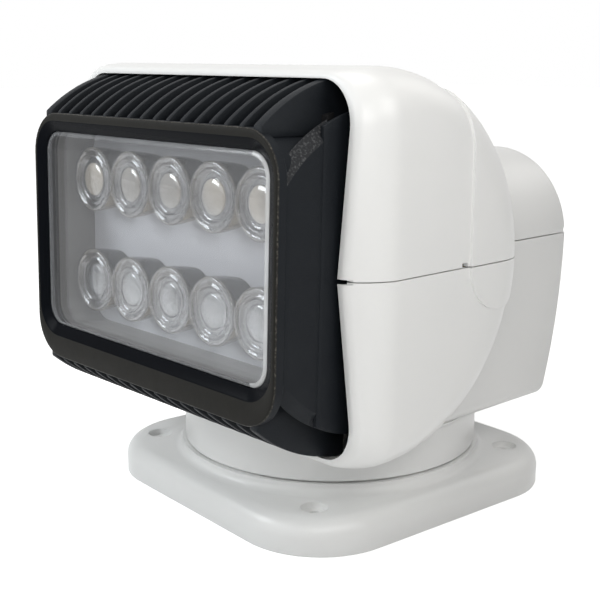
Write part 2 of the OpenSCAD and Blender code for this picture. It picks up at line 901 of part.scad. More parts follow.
module board_screws() {
    color(steel) standoff_spots() translate([0, circuit_y, 0]) rotate([-90, 0, 0])
        screw_up(circuit_t + 5, screw_r * 0.7);
}

// Lamp, in its own frame

// Side outline of the lamp inside a circle round the tilt axis, from y0 to y1
module swept_side(r, y0, y1) {
    intersection() {
        circle(r, $fn = 180);
        translate([y0, -big]) square([y1 - y0, 2 * big]);
    }
}

module window_outline(grow) {
    translate([0, window_rise])
        round_rect(window_w + 2 * grow, window_h + 2 * grow, window_r + grow);
}

frame_top = window_rise + chamber_h / 2 + chamber_wall;
frame_low = window_rise - chamber_h / 2 - chamber_wall;

// One cooling fin that stands on the chamber's wall and on the core behind it
module fin(thick, wall_h) {
    along_x(thick) intersection() {
        swept_side(lamp_r, lip_back_y + touch, fin_back_y);
        union() {
            translate([-big, wall_h]) square([2 * big, big]);
            translate([crease_y + flange_t, core_half_h - 1]) square([big, big]);
        }
    }
}

module fin_row(wall_h) {
    for (i = [0 : fin_count - 1]) translate([(i - (fin_count - 1) / 2) * fin_pitch, 0, 0])
        fin(i == 0 || i == fin_count - 1 ? end_fin_t : fin_t, wall_h);
}

module lamp_housing() {
    color(black_cast) in_lamp() difference() {
        union() {
            along_x(2 * core_half_w) translate([crease_y, -core_half_h])
                square([core_back_y - crease_y, 2 * core_half_h]);
            along_x(2 * core_half_w) swept_side(cheek_r, crease_y, pocket_floor_y + 4);
            along_x(2 * bezel_half) swept_side(cheek_r, crease_y, crease_y + flange_t);
            for (s = [-1, 1]) translate([s * (bezel_half - panel_t / 2), 0, 0])
                along_x(panel_t) swept_side(cheek_r, crease_y, panel_back_y);
            fin_row(frame_top);
            mirror([0, 0, 1]) fin_row(-frame_low);
        }
        along_y(cavity_y, core_back_y + 1) square([2 * cavity_half_w, 2 * cavity_half_h], center = true);
        cover_screw_spots() rod_y(screw_r * 0.8, core_back_y - cover_t - 7, core_back_y + 1);
        along_y(core_back_y - cover_t, core_back_y + 1)
            square([2 * (cavity_half_w + cover_lap), 2 * (cavity_half_h + cover_lap)], center = true);
        along_y(crease_y - 1, pocket_floor_y) translate([0, window_rise])
            round_rect(chamber_w + 2 * tray_fit, chamber_h + 2 * tray_fit, window_r + lens_flange);
        for (s = [0, 1]) mirror([s, 0, 0]) rod_x(trunnion_r, core_half_w - trunnion_in, big);
        bezel_pin_spots() rod_y(bezel_pin_r, crease_y - 1, crease_y + bezel_pin_len / 2);
        rotate([lamp_tilt, 0, 0]) sector_screw_spots() rod_x(screw_r * 0.8, core_half_w - 8, core_half_w + 1);
    }
}

cover_t = 3;
cover_lap = 5;
cavity_y = pocket_floor_y + 9;
cavity_half_w = core_half_w - trunnion_in - 8;
cavity_half_h = core_half_h - 9;

module cover_screw_spots() {
    for (x = [-1, 1], z = [-1, 1])
        translate([x * (cavity_half_w + cover_lap / 2), 0, z * (cavity_half_h + cover_lap / 2)]) children();
}

// Plate that closes the hollow back of the lamp casting
module lamp_cover() {
    color(black_cast) in_lamp() difference() {
        along_y(core_back_y - cover_t, core_back_y)
            square([2 * (cavity_half_w + cover_lap), 2 * (cavity_half_h + cover_lap)], center = true);
        cover_screw_spots() rod_y(screw_r * 0.8, core_back_y - cover_t - 1, core_back_y + 1);
        gland_spot() rod_y(gland_r, core_back_y - cover_t - 1, core_back_y + 1);
    }
}

module cover_screws() {
    color(steel) in_lamp() cover_screw_spots() translate([0, core_back_y, 0]) rotate([90, 0, 0])
        screw_up(cover_t + 6, screw_r * 0.8);
}

bezel_pin_z = 36;
bezel_pin_r = 1.2;
bezel_pin_len = 2 * flange_t - 1;
bezel_pin_x = (bezel_half + chamber_w / 2) / 2;

module bezel_pin_spots() {
    for (x = [-1, 1], z = [-1, 1]) translate([x * bezel_pin_x, 0, z * bezel_pin_z]) children();
}

// Round side limit of the cheeks, sloped towards its edge
module cheek_limit() {
    thick = bezel_half - chamber_w / 2;
    rotate([0, 90, 0]) rotate_extrude($fn = 180) polygon([
        [0, -bezel_half], [cheek_r - cheek_slope, -bezel_half], [cheek_r, -bezel_half + thick],
        [cheek_r, bezel_half - thick], [cheek_r - cheek_slope, bezel_half], [0, bezel_half]]);
}

// The bezel: a front lip with a bevelled window, a chamber behind it and two round cheeks
module bezel() {
    color(black_cast) in_lamp() difference() {
        union() {
            along_y(front_y, lip_back_y) round_rect(bezel_w, 2 * lamp_half_h, bezel_corner_r);
            along_y(front_y, crease_y) translate([0, window_rise])
                round_rect(chamber_w + 2 * chamber_wall, chamber_h + 2 * chamber_wall, chamber_r);
            intersection() {
                along_x(bezel_w) swept_side(cheek_r + 1, front_y, crease_y);
                cheek_limit();
                for (s = [0, 1]) mirror([s, 0, 0])
                    translate([chamber_w / 2, -big, -big]) cube([big, 2 * big, 2 * big]);
            }
        }
        hull() {
            along_y(front_y - eps, front_y) window_outline(bevel_w, $fn = 32);
            along_y(front_y + window_recess, front_y + window_recess + eps) window_outline(0, $fn = 32);
        }
        along_y(front_y - 1, lip_back_y + 1) window_outline(0);
        along_y(lip_back_y, crease_y + 1) translate([0, window_rise])
            round_rect(chamber_w, chamber_h, window_r + lens_flange);
        bezel_pin_spots() rod_y(bezel_pin_r, crease_y - bezel_pin_len / 2, crease_y + 1);
    }
}

module bezel_pins() {
    color(steel) in_lamp() bezel_pin_spots()
        rod_y(bezel_pin_r, crease_y - bezel_pin_len / 2, crease_y + bezel_pin_len / 2);
}

// The clear cover: a window that stands up into the bezel on a thin flange
module lens() {
    color(clear) in_lamp() {
        along_y(front_y + window_recess, lens_flange_y) window_outline(-0.1);
        along_y(lens_flange_y, lens_flange_y + lens_flange_t) window_outline(lens_flange - 0.1);
    }
}

module lens_gasket() {
    color(rubber) in_lamp() along_y(gasket_y, gasket_y + gasket_t) difference() {
        window_outline(lens_flange - 0.1);
        window_outline(lens_flange - tray_t - 0.6);
    }
}

module optic_tray() {
    color([0.55, 0.56, 0.58]) in_lamp() along_y(tray_y, board_y) difference() {
        window_outline(lens_flange - 0.1);
        window_outline(lens_flange - tray_t - 0.1);
    }
}

module led_board() {
    color([0.80, 0.82, 0.84]) in_lamp() along_y(board_y, board_y + board_t)
        window_outline(lens_flange - 0.1);
}

function optic_x(i) = ((i - 1) % optic_cols - (optic_cols - 1) / 2) * optic_pitch;
function optic_z(i) = window_rise + (i > optic_cols ? -1 : 1) * row_pitch / 2;

module optic_spot(i) {
    translate([optic_x(i), 0, optic_z(i)]) children();
}

module led_emitters() {
    color([0.95, 0.90, 0.55]) in_lamp() for (i = [1 : 2 * optic_cols]) optic_spot(i)
        translate([-emitter_w / 2, board_y - emitter_t, -emitter_w / 2])
            cube([emitter_w, emitter_t, emitter_w]);
}

optic_foot_r = optic_d / 2 - 2.4;
optic_cup_r = 5;
optic_cup_h = 6;
optic_rim_h = 2.5;
optic_eye_r = 8.5;
optic_eye_depth = 2.2;

// A bell-shaped collimating lens: a cup over the emitter, a flared body and a sunk eye in front
module optic(i) {
    front_r = optic_d / 2;
    bell_h = optic_h - optic_rim_h;
    flare = front_r - optic_foot_r;
    flare_r = (flare * flare + bell_h * bell_h) / (2 * flare);
    color(clear) in_lamp() optic_spot(i) translate([0, board_y, 0]) rotate([90, 0, 0])
        rotate_extrude() difference() {
        union() {
            intersection() {
                translate([front_r - flare_r, bell_h]) circle(flare_r, $fn = 120);
                square([front_r, bell_h]);
            }
            translate([0, bell_h]) square([front_r, optic_rim_h]);
        }
        translate([-big, -big]) square([big, 2 * big]);
        translate([0, -eps]) square([optic_cup_r, optic_cup_h]);
        translate([0, optic_h - optic_eye_depth]) square([optic_eye_r, big]);
    }
}

module trunnion() {
    rod_x(trunnion_r, core_half_w - trunnion_in, boss_x + bush_len - 0.5);
}

module trunnion_left() {
    color(steel) at_axis() mirror([1, 0, 0]) trunnion();
}

module trunnion_right() {
    color(steel) at_axis() trunnion();
}

sector_screw_ring = 14;
sector_hub_r = sector_screw_ring + 4.5;

module sector_screw_spots() {
    for (a = [-75, 0, 75]) rotate([a, 0, 0]) translate([0, sector_screw_ring, 0]) children();
}

// Toothed sector: it faces the pinion over the whole tilt, with a slot between hub and rim
module tilt_sector() {
    start = -(tilt_low + sector_margin);
    end = tilt_high + sector_margin;
    reach = 2 * tilt_r;
    rim_in = tilt_r - 8;
    steps = 6;
    wedge = [for (k = [0 : steps]) polar(reach, start + (end - start) * k / steps)];
    color(acetal) at_axis() difference() {
        translate([sector_x + sector_t / 2, 0, 0]) along_x(sector_t) union() {
            intersection() {
                polygon(gear_outline(tilt_module, sector_teeth, mesh_play));
                polygon(concat([[0, 0]], wedge));
                difference() {
                    circle(reach);
                    circle(rim_in);
                }
            }
            circle(sector_hub_r);
            for (a = [start + 8, (start + end) / 2, end - 8]) rotate(a)
                translate([0, -5]) square([rim_in + 2, 10]);
        }
        rod_x(trunnion_r, 0, big);
        sector_screw_spots() rod_x(screw_r * 0.8, 0, big);
    }
}

module sector_screws() {
    color(steel) at_axis() sector_screw_spots() translate([sector_x + sector_t, 0, 0]) rotate([0, -90, 0])
        screw_up(sector_t + 7, screw_r * 0.8);
}

gland_r = 5;
gland_in = 20;

module gland_spot() {
    translate([gland_in - cavity_half_w, 0, 0]) children();
}

module lamp_gland() {
    color(rubber) in_lamp() gland_spot() difference() {
        union() {
            rod_y(gland_r, core_back_y - 6, core_back_y);
            rod_y(gland_r + 2.5, core_back_y, core_back_y + 4);
            rod_y(gland_r, core_back_y + 4, core_back_y + 8);
        }
        rod_y(2.5, core_back_y - 7, core_back_y + 9);
    }
}

base_plate();
pan_spindle();
spindle_screws();
pan_gear();
gear_screws();
thrust_washer();
clamp_washer();
spindle_nut();
pan_seal();
cable_grommet();
lower_housing();
upper_housing();
housing_screws();
pan_bush();
tilt_bush_left();
tilt_bush_right();
pan_gearmotor();
pan_motor_screws();
tilt_gearmotor();
tilt_bracket();
tilt_motor_screws();
bracket_screws();
control_board();
board_components();
board_screws();
pan_shaft();
pan_pinion();
tilt_shaft();
tilt_pinion();
lamp_housing();
lamp_cover();
cover_screws();
bezel();
bezel_pins();
lens();
lens_gasket();
optic_tray();
led_board();
led_emitters();
trunnion_left();
trunnion_right();
tilt_sector();
sector_screws();
lamp_gland();
for (i = [1 : 2 * optic_cols])
    optic(i);
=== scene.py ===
"""Marine searchlight: a finned lamp that tilts in a two-part hood, on a head that turns on a foot.

Sizes are in millimetres in the classes below and become metres when a mesh is made.
"""
from __future__ import annotations

import json
import logging
import math
from collections.abc import Iterator, Sequence
from contextlib import contextmanager
from dataclasses import dataclass, field
from enum import Enum, IntEnum

import bmesh
import bpy
from mathutils import Matrix, Vector

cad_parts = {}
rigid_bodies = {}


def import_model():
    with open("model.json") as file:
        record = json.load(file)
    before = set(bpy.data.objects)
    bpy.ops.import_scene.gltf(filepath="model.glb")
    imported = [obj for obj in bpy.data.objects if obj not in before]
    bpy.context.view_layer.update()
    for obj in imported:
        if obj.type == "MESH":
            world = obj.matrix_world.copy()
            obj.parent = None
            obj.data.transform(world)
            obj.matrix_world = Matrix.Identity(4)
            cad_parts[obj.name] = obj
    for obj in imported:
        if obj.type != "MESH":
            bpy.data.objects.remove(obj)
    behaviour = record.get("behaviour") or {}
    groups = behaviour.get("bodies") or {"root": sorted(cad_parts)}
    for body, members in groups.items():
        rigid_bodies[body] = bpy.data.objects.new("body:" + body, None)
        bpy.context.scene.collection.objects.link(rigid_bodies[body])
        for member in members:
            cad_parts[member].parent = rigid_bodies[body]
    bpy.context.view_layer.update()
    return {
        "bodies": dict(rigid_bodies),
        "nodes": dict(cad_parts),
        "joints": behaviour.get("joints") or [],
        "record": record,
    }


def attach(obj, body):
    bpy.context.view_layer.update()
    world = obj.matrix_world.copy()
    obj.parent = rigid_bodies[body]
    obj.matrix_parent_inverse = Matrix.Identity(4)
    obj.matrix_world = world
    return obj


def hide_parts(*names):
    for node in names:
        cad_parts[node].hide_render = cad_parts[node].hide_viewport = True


MM = 0.001
# Points closer than this, in metres, become one
MERGE = 1e-6
SOLID_MERGE = 2e-6
PLANE_MERGE = 1e-7
Colour = tuple[float, float, float]
Point = tuple[float, float, float]
Flat = tuple[float, float]
Piece = bpy.types.Object
Material = bpy.types.Material
Tree = bpy.types.NodeTree
Node = bpy.types.Node
Socket = bpy.types.NodeSocket
Solids = dict[str, Piece]
log = logging.getLogger("searchlight")


class Grain(Enum):
    """Surface textures that a finish can have."""

    SMOOTH = "smooth"
    MOULDED = "moulded"
    CAST = "cast"
    BRUSHED = "brushed"
    SPECKLED = "speckled"
    PATCHY = "patchy"


class LampSlot(IntEnum):
    """Places in the material lists of the casting and of the bezel."""

    COAT = 0
    SIDE = 1
    EDGE = 2
    WORN = 3
    GLOSS = 4


class CoverSlot(IntEnum):
    """Places in the material list of the clear cover."""

    PANE = 0
    PAINTED_HIGHLIGHT = 1
    RIM = 2


@dataclass(frozen=True)
class Waves:
    """The waves that make the bump of a grain.

    Args:
        scale: Waves per metre.
        detail: Number of finer layers.
        depth: Height of the waves, in metres.
        stretch: Scale of each axis before that, or None for none.
    """

    scale: float
    detail: float
    depth: float
    stretch: Point | None = None


BUMPS = {
    Grain.MOULDED: Waves(900.0, 2.0, 0.0002),
    Grain.CAST: Waves(1500.0, 5.0, 0.0004),
    Grain.SPECKLED: Waves(1500.0, 5.0, 0.0004),
    Grain.BRUSHED: Waves(1.0, 2.0, 0.0001, stretch=(20.0, 900.0, 900.0)),
}
# Heights of a noise between which a speckle or a patch comes up
SPECKLE_SPAN = (0.50, 0.72)
PATCH_SPAN = (0.42, 0.58)
SPECKLE_SCALE = 1100.0
DRIFT_DETAIL = 3.0
PEAK_DETAIL = 2.0
WEAR_SCALE = 4.0
WEAR_DETAIL = 4.0
# Object-normal heights over which the painted shade colour of up-facing surfaces comes in
UP_SHADE_SPAN = (-0.5, 0.5)
GRAZING_BLEND = 0.4


def feed(tree: Tree, node: Node, inputs: dict[str | int, object]) -> None:
    """Fills the inputs of a node.

    Args:
        tree: Node tree that the node is in.
        node: The node.
        inputs: For each input its value, or the socket that feeds it.
    """
    for key, value in inputs.items():
        if isinstance(value, Socket):
            tree.links.new(value, node.inputs[key])
        else:
            node.inputs[key].default_value = value


def add_node(tree: Tree, kind: str, inputs: dict[str | int, object]) -> Node:
    """Adds a node and fills its inputs.

    Args:
        tree: Node tree to add to.
        kind: Kind of node.
        inputs: For each input its value, or the socket that feeds it.

    Returns:
        The new node.
    """
    node = tree.nodes.new(kind)
    feed(tree, node, inputs)
    return node


def calc(tree: Tree, operation: str, first: Socket,
         second: Socket | float) -> Socket:
    """Works out one value from two.

    Args:
        tree: Node tree to add to.
        operation: What is done with the values.
        first: The first value.
        second: The second value.

    Returns:
        The result.
    """
    node = tree.nodes.new("ShaderNodeMath")
    node.operation = operation
    feed(tree, node, {0: first, 1: second})
    return node.outputs[0]


def ramp(tree: Tree, value: Socket, source: Flat = (0.0, 1.0),
         target: Flat = (0.0, 1.0)) -> Socket:
    """Maps a value from one range to another and holds it at both ends.

    Args:
        tree: Node tree to add to.
        value: The value.
        source: Range that it comes from.
        target: Range that it goes to.

    Returns:
        The mapped value.
    """
    node = add_node(tree, "ShaderNodeMapRange", {
        "Value": value, "From Min": source[0], "From Max": source[1],
        "To Min": target[0], "To Max": target[1]})
    return node.outputs["Result"]


def noise(tree: Tree, spot: Socket, scale: float,
          detail: float) -> Socket:
    """Adds a noise.

    Args:
        tree: Node tree to add to.
        spot: Coordinates that it follows.
        scale: Waves per metre.
        detail: Number of finer layers.

    Returns:
        The height of the noise.
    """
    node = add_node(tree, "ShaderNodeTexNoise", {"Vector": spot, "Scale": scale, "Detail": detail})
    return node.outputs["Fac"]


def peaks(tree: Tree, spot: Socket, scale: float,
          span: Flat) -> Socket:
    """Adds spots that show only at the peaks of a noise.

    Args:
        tree: Node tree to add to.
        spot: Coordinates that they follow.
        scale: Waves per metre.
        span: Heights of the noise where a spot starts and where it is full.

    Returns:
        A value that is 1 in the spots.
    """
    return ramp(tree, noise(tree, spot, scale, PEAK_DETAIL), span)


def colour_mix(tree: Tree, share: Socket,
               first: Socket | Colour, second: Colour) -> Socket:
    """Mixes two colours.

    Args:
        tree: Node tree to add to.
        share: Share of the second colour.
        first: The first colour.
        second: The second colour.

    Returns:
        The mixed colour.
    """
    mix = tree.nodes.new("ShaderNodeMix")
    mix.data_type = "RGBA"
    start = first if isinstance(first, Socket) else (*first, 1.0)
    feed(tree, mix, {"Factor": share, "A": start, "B": (*second, 1.0)})
    return mix.outputs["Result"]


@dataclass(frozen=True)
class Finish:
    """One procedural material.

    Args:
        name: Name of the material.
        colour: Main colour.
        tint: Second colour that the main one drifts to.
        roughness: Middle roughness.
        spread: How far the roughness drifts each way.
        metallic: 0 for plastic, 1 for bare metal.
        grain: Kind of surface texture.
        bump: Strength of the texture.
        scale: Size of the colour drift, in waves per metre.
        ior: Index of refraction.
        coat: Weight of a clear top layer.
        specular: Strength of the plain reflection.
        alpha: Share of the surface that covers what is behind it.
        grazing: That share where the surface is seen edge-on, or 0 for the same.
        upper: Colour painted on surfaces that face up, used as painted shade on their tops, or None for the
            same.
    """

    name: str
    colour: Colour
    tint: Colour
    roughness: float = 0.4
    spread: float = 0.08
    metallic: float = 0.0
    grain: Grain = Grain.SMOOTH
    bump: float = 0.1
    scale: float = 30.0
    ior: float = 1.48
    coat: float = 0.0
    specular: float = 0.5
    alpha: float = 1.0
    grazing: float = 0.0
    upper: Colour | None = None

    def build(self) -> Material:
        """Makes the material's node tree.

        Returns:
            The new material.
        """
        mat = bpy.data.materials.new(self.name)
        mat.use_nodes = True
        tree = mat.node_tree
        shader = tree.nodes["Principled BSDF"]
        place = tree.nodes.new("ShaderNodeTexCoord")
        wear = noise(tree, place.outputs["Object"], self.scale * WEAR_SCALE, WEAR_DETAIL)
        rough = (max(0.0, self.roughness - self.spread), self.roughness + self.spread)
        feed(tree, shader, {
            "Base Color": self.add_colour(tree, place), "Roughness": ramp(tree, wear, target=rough),
            "Metallic": self.metallic, "IOR": self.ior, "Coat Weight": self.coat,
            "Specular IOR Level": self.specular, "Alpha": self.alpha})
        if self.grazing:
            edge = add_node(tree, "ShaderNodeLayerWeight", {"Blend": GRAZING_BLEND})
            cover = ramp(tree, edge.outputs["Facing"], target=(self.alpha, self.grazing))
            feed(tree, shader, {"Alpha": cover})
        self.add_bump(tree, place.outputs["Object"], shader)
        return mat

    def add_colour(self, tree: Tree, place: Node) -> Socket:
        """Adds the drifting colour, and the painted shade colour of surfaces that face up.

        Args:
            tree: Node tree of the material.
            place: Texture coordinate node.

        Returns:
            The colour.
        """
        spot = place.outputs["Object"]
        if self.grain is Grain.SPECKLED:
            drift = peaks(tree, spot, SPECKLE_SCALE, SPECKLE_SPAN)
        elif self.grain is Grain.PATCHY:
            drift = peaks(tree, spot, self.scale, PATCH_SPAN)
        else:
            drift = noise(tree, spot, self.scale, DRIFT_DETAIL)
        colour = colour_mix(tree, drift, self.colour, self.tint)
        if self.upper is None:
            return colour
        # Up-facing surfaces take the upper colour as painted shade
        split = add_node(tree, "ShaderNodeSeparateXYZ", {0: place.outputs["Normal"]})
        return colour_mix(tree, ramp(tree, split.outputs["Z"], UP_SHADE_SPAN), colour, self.upper)

    def add_bump(self, tree: Tree, spot: Socket, shader: Node) -> None:
        """Adds the surface texture as a bump.

        Args:
            tree: Node tree of the material.
            spot: Coordinates that it follows.
            shader: The material's main shader.
        """
        waves = BUMPS.get(self.grain)
        if waves is None:
            return
        if waves.stretch is not None:
            stretch = add_node(tree, "ShaderNodeMapping", {"Vector": spot, "Scale": waves.stretch})
            spot = stretch.outputs["Vector"]
        height = noise(tree, spot, waves.scale, waves.detail)
        bump = add_node(tree, "ShaderNodeBump", {
            "Strength": self.bump, "Distance": waves.depth, "Height": height})
        feed(tree, shader, {"Normal": bump.outputs["Normal"]})


class Palette:
    """All finishes of the searchlight, made once."""

    def __init__(self) -> None:
        """Builds every material."""
        self.shell = Finish("shell_white", (0.80, 0.80, 0.79), (0.77, 0.775, 0.77), 0.34, 0.05,
                            grain=Grain.MOULDED, bump=0.05, coat=0.05).build()
        self.casting = Finish("lamp_black", (0.006, 0.006, 0.007), (0.011, 0.011, 0.011), 0.52, 0.1,
                              grain=Grain.CAST, bump=0.3, scale=60.0, specular=0.12).build()
        self.side = Finish("side_black", (0.006, 0.0075, 0.010), (0.010, 0.012, 0.0145), 0.52, 0.08,
                           grain=Grain.CAST, bump=0.25, scale=60.0, specular=0.12).build()
        self.edge = Finish("cast_edge", (0.015, 0.016, 0.018), (0.070, 0.072, 0.075), 0.55, 0.1,
                           grain=Grain.SPECKLED, bump=0.5, specular=0.15).build()
        self.lip = Finish("bezel_coat", (0.007, 0.0068, 0.006), (0.012, 0.0115, 0.0095), 0.55, 0.08,
                          grain=Grain.CAST, bump=0.2, scale=80.0, specular=0.1).build()
        self.worn = Finish("worn_edge", (0.014, 0.0135, 0.012), (0.085, 0.08, 0.068), 0.45, 0.08,
                           grain=Grain.SPECKLED, bump=0.2, specular=0.15).build()
        self.gloss = Finish("bevel_black", (0.003, 0.0035, 0.005), (0.005, 0.006, 0.008), 0.22, 0.05,
                            ior=1.12, specular=0.2).build()
        self.steel = Finish("stainless", (0.62, 0.63, 0.65), (0.55, 0.56, 0.58), 0.3, 0.08, 1.0,
                            Grain.BRUSHED, 0.2).build()
        self.brass = Finish("gear_brass", (0.70, 0.52, 0.22), (0.62, 0.45, 0.18), 0.3, 0.08, 1.0,
                            Grain.BRUSHED, 0.2).build()
        self.acetal = Finish("acetal", (0.80, 0.79, 0.73), (0.76, 0.75, 0.70), 0.45, 0.05,
                             grain=Grain.MOULDED, bump=0.1).build()
        self.rubber = Finish("rubber", (0.02, 0.02, 0.02), (0.035, 0.035, 0.035), 0.75, 0.08,
                             grain=Grain.CAST, bump=0.2).build()
        self.cover = Finish("clear_cover", (0.95, 0.97, 1.0), (0.93, 0.96, 1.0), 0.05, 0.02, 1.0,
                            alpha=0.055).build()
        # Right edge of the cover: a light grey painted highlight where the edge catches the light; the rest
        # of the edge takes the darker plain grey below
        self.cover_edge = Finish("cover_edge", (0.80, 0.81, 0.82), (0.74, 0.75, 0.76), 0.12, 0.04,
                                 alpha=0.5, coat=0.5).build()
        self.cover_rim = Finish("cover_rim", (0.45, 0.46, 0.48), (0.40, 0.41, 0.43), 0.12, 0.04,
                                alpha=0.28, coat=0.3).build()
        self.optic = Finish("clear_optic", (0.58, 0.59, 0.61), (0.52, 0.53, 0.55), 0.04, 0.015, 1.0,
                            alpha=0.034, grazing=0.46).build()
        # Lens sides: the beige is a painted warm reflection, and the dark upper colour is painted shade on
        # their tops
        self.optic_side_reflection_and_shade = Finish("optic_side_reflection_and_shade", (0.60, 0.52, 0.40), (0.50, 0.46, 0.39), 0.12, 0.03,
                                 alpha=0.40, grazing=0.6, coat=0.5, upper=(0.04, 0.042, 0.045)).build()
        self.eye = Finish("lens_eye", (0.40, 0.36, 0.30), (0.22, 0.204, 0.18), 0.22, 0.05,
                          grain=Grain.PATCHY, scale=28.0, coat=0.3).build()
        self.eye_cool = Finish("lens_eye_cool", (0.24, 0.255, 0.265), (0.012, 0.013, 0.015), 0.22, 0.05,
                               grain=Grain.PATCHY, scale=28.0, coat=0.3).build()
        self.well = Finish("lens_well", (0.012, 0.012, 0.013), (0.03, 0.03, 0.031), 0.4, 0.05).build()
        self.tray = Finish("tray_grey", (0.20, 0.196, 0.192), (0.16, 0.157, 0.155), 0.4, 0.05).build()
        self.board = Finish("board_white", (0.49, 0.50, 0.535), (0.46, 0.47, 0.505), 0.45, 0.05).build()
        self.emitter = Finish("phosphor", (0.75, 0.62, 0.30), (0.70, 0.56, 0.25), 0.5, 0.05).build()
        self.circuit = Finish("laminate", (0.03, 0.14, 0.06), (0.04, 0.17, 0.08), 0.4, 0.08).build()
        self.component = Finish("component", (0.03, 0.03, 0.035), (0.05, 0.05, 0.055), 0.5, 0.1).build()


def quarter(steps: int) -> list[Flat]:
    """Cosine and sine at even steps over a quarter turn.

    Args:
        steps: Number of steps.

    Returns:
        One pair more than there are steps.
    """
    angles = [math.radians(90.0 * k / steps) for k in range(steps + 1)]
    return [(math.cos(a), math.sin(a)) for a in angles]


def rounded_rect(half_w: float, half_h: float, radius: float, steps: int) -> list[Flat]:
    """Points round a rectangle with round corners, anticlockwise from the right side.

    Args:
        half_w: Half of the width.
        half_h: Half of the height.
        radius: Corner radius.
        steps: Segments in each corner.

    Returns:
        The points of one closed loop.
    """
    corners = [(1, 1, 0.0), (-1, 1, 90.0), (-1, -1, 180.0), (1, -1, 270.0)]
    points = []
    for sx, sy, start in corners:
        for k in range(steps + 1):
            a = math.radians(start + 90.0 * k / steps)
            points.append((sx * (half_w - radius) + radius * math.cos(a),
                           sy * (half_h - radius) + radius * math.sin(a)))
    return points


def quads(rows: int, columns: int, ring: bool = False, closed: bool = False) -> list[tuple[int, ...]]:
    """Numbers the faces between rows of points.

    Args:
        rows: Rows of points.
        columns: Points in each row.
        ring: Whether each row runs round to its own start.
        closed: Whether the last row joins the first.

    Returns:
        Faces as point numbers, row by row.
    """
    faces: list[tuple[int, ...]] = []
    for i in range(rows if closed else rows - 1):
        here, there = i * columns, (i + 1) % rows * columns
        for k in range(columns if ring else columns - 1):
            n = (k + 1) % columns
            faces.append((here + k, here + n, there + n, there + k))
    return faces


def new_piece(name: str, mesh: bpy.types.Mesh) -> Piece:
    """Makes an object of a mesh and puts it in the scene.

    Args:
        name: Name of the piece.
        mesh: Its mesh.

    Returns:
        The new object, at the origin.
    """
    obj = bpy.data.objects.new(name, mesh)
    bpy.context.scene.collection.objects.link(obj)
    return obj


@contextmanager
def edited(obj: Piece) -> Iterator[bmesh.types.BMesh]:
    """Opens the mesh of a piece for changes and puts them back at the end.

    Args:
        obj: The piece.

    Yields:
        The open mesh.
    """
    bm = bmesh.new()
    bm.from_mesh(obj.data)
    yield bm
    bm.to_mesh(obj.data)
    bm.free()


def mesh_from(name: str, verts: Sequence[Point], faces: Sequence[Sequence[int]],
              place: Matrix | None = None) -> Piece:
    """Makes an object from points in millimetres.

    Args:
        name: Name of the piece.
        verts: Points in millimetres.
        faces: Faces as point numbers.
        place: Where the points go, still in millimetres.

    Returns:
        The new object, in metres, at the origin.
    """
    matrix = Matrix.Scale(MM, 4) @ (place or Matrix.Identity(4))
    mesh = bpy.data.meshes.new(name)
    mesh.from_pydata([matrix @ Vector(v) for v in verts], [], faces)
    mesh.validate()
    return new_piece(name, mesh)


def move(obj: Piece, place: Matrix) -> Piece:
    """Moves the mesh of a piece.

    Args:
        obj: The piece, in metres.
        place: Where it goes, in millimetres.

    Returns:
        The same object.
    """
    scale = Matrix.Scale(MM, 4)
    obj.data.transform(scale @ place @ scale.inverted())
    return obj


def loft(name: str, loops: Sequence[Sequence[Point]], place: Matrix | None = None) -> Piece:
    """Joins closed loops of equal length into a skin, the last one to the first.

    Args:
        name: Name of the piece.
        loops: Loops of points, one after another.
        place: Where the points go.

    Returns:
        The new object.
    """
    verts = [p for loop in loops for p in loop]
    return mesh_from(name, verts, quads(len(loops), len(loops[0]), ring=True, closed=True), place)


def revolve(name: str, profile: Sequence[Flat], steps: int) -> Piece:
    """Turns a closed profile of (radius, height) about Z.

    Args:
        name: Name of the piece.
        profile: Closed profile.
        steps: Segments round the axis.

    Returns:
        The new object.
    """
    angles = [2 * math.pi * k / steps for k in range(steps)]
    loops = [[(r * math.cos(a), r * math.sin(a), z) for a in angles] for r, z in profile]
    return tidy_normals(loft(name, loops))


def tidy_normals(obj: Piece) -> Piece:
    """Merges doubles and turns all faces outwards.

    Args:
        obj: The piece.

    Returns:
        The same object.
    """
    with edited(obj) as bm:
        bmesh.ops.remove_doubles(bm, verts=bm.verts, dist=MERGE)
        bmesh.ops.dissolve_degenerate(bm, edges=bm.edges, dist=MERGE)
        bmesh.ops.recalc_face_normals(bm, faces=bm.faces)
    return obj


def smooth(obj: Piece, angle: float) -> Piece:
    """Shades a piece smooth except across sharp edges.

    Args:
        obj: The piece.
        angle: Edges that turn by more than this stay sharp.

    Returns:
        The same object.
    """
    limit = math.radians(angle)
    with edited(obj) as bm:
        for edge in bm.edges:
            edge.smooth = not (edge.is_manifold and edge.calc_face_angle(0.0) > limit)
        for face in bm.faces:
            face.smooth = True
    return obj


def apply_modifiers(obj: Piece) -> Piece:
    """Turns a piece with modifiers into a plain mesh.

    Args:
        obj: The piece.

    Returns:
        The same object.
    """
    depsgraph = bpy.context.evaluated_depsgraph_get()
    plain = bpy.data.meshes.new_from_object(obj.evaluated_get(depsgraph))
    old = obj.data
    obj.modifiers.clear()
    obj.data = plain
    bpy.data.meshes.remove(old)
    return obj


def bevel(obj: Piece, width: float, segments: int = 2, angle: float = 40.0) -> Piece:
    """Rounds the sharp edges of a piece.

    Args:
        obj: The piece.
        width: Width of the rounding in millimetres.
        segments: Segments across it.
        angle: Edges that turn by less than this are left alone.

    Returns:
        The same object, as a plain mesh.
    """
    mod = obj.modifiers.new("edge_rounding", "BEVEL")
    mod.width = width * MM
    mod.segments = segments
    mod.limit_method = "ANGLE"
    mod.angle_limit = math.radians(angle)
    mod.harden_normals = False
    return apply_modifiers(obj)


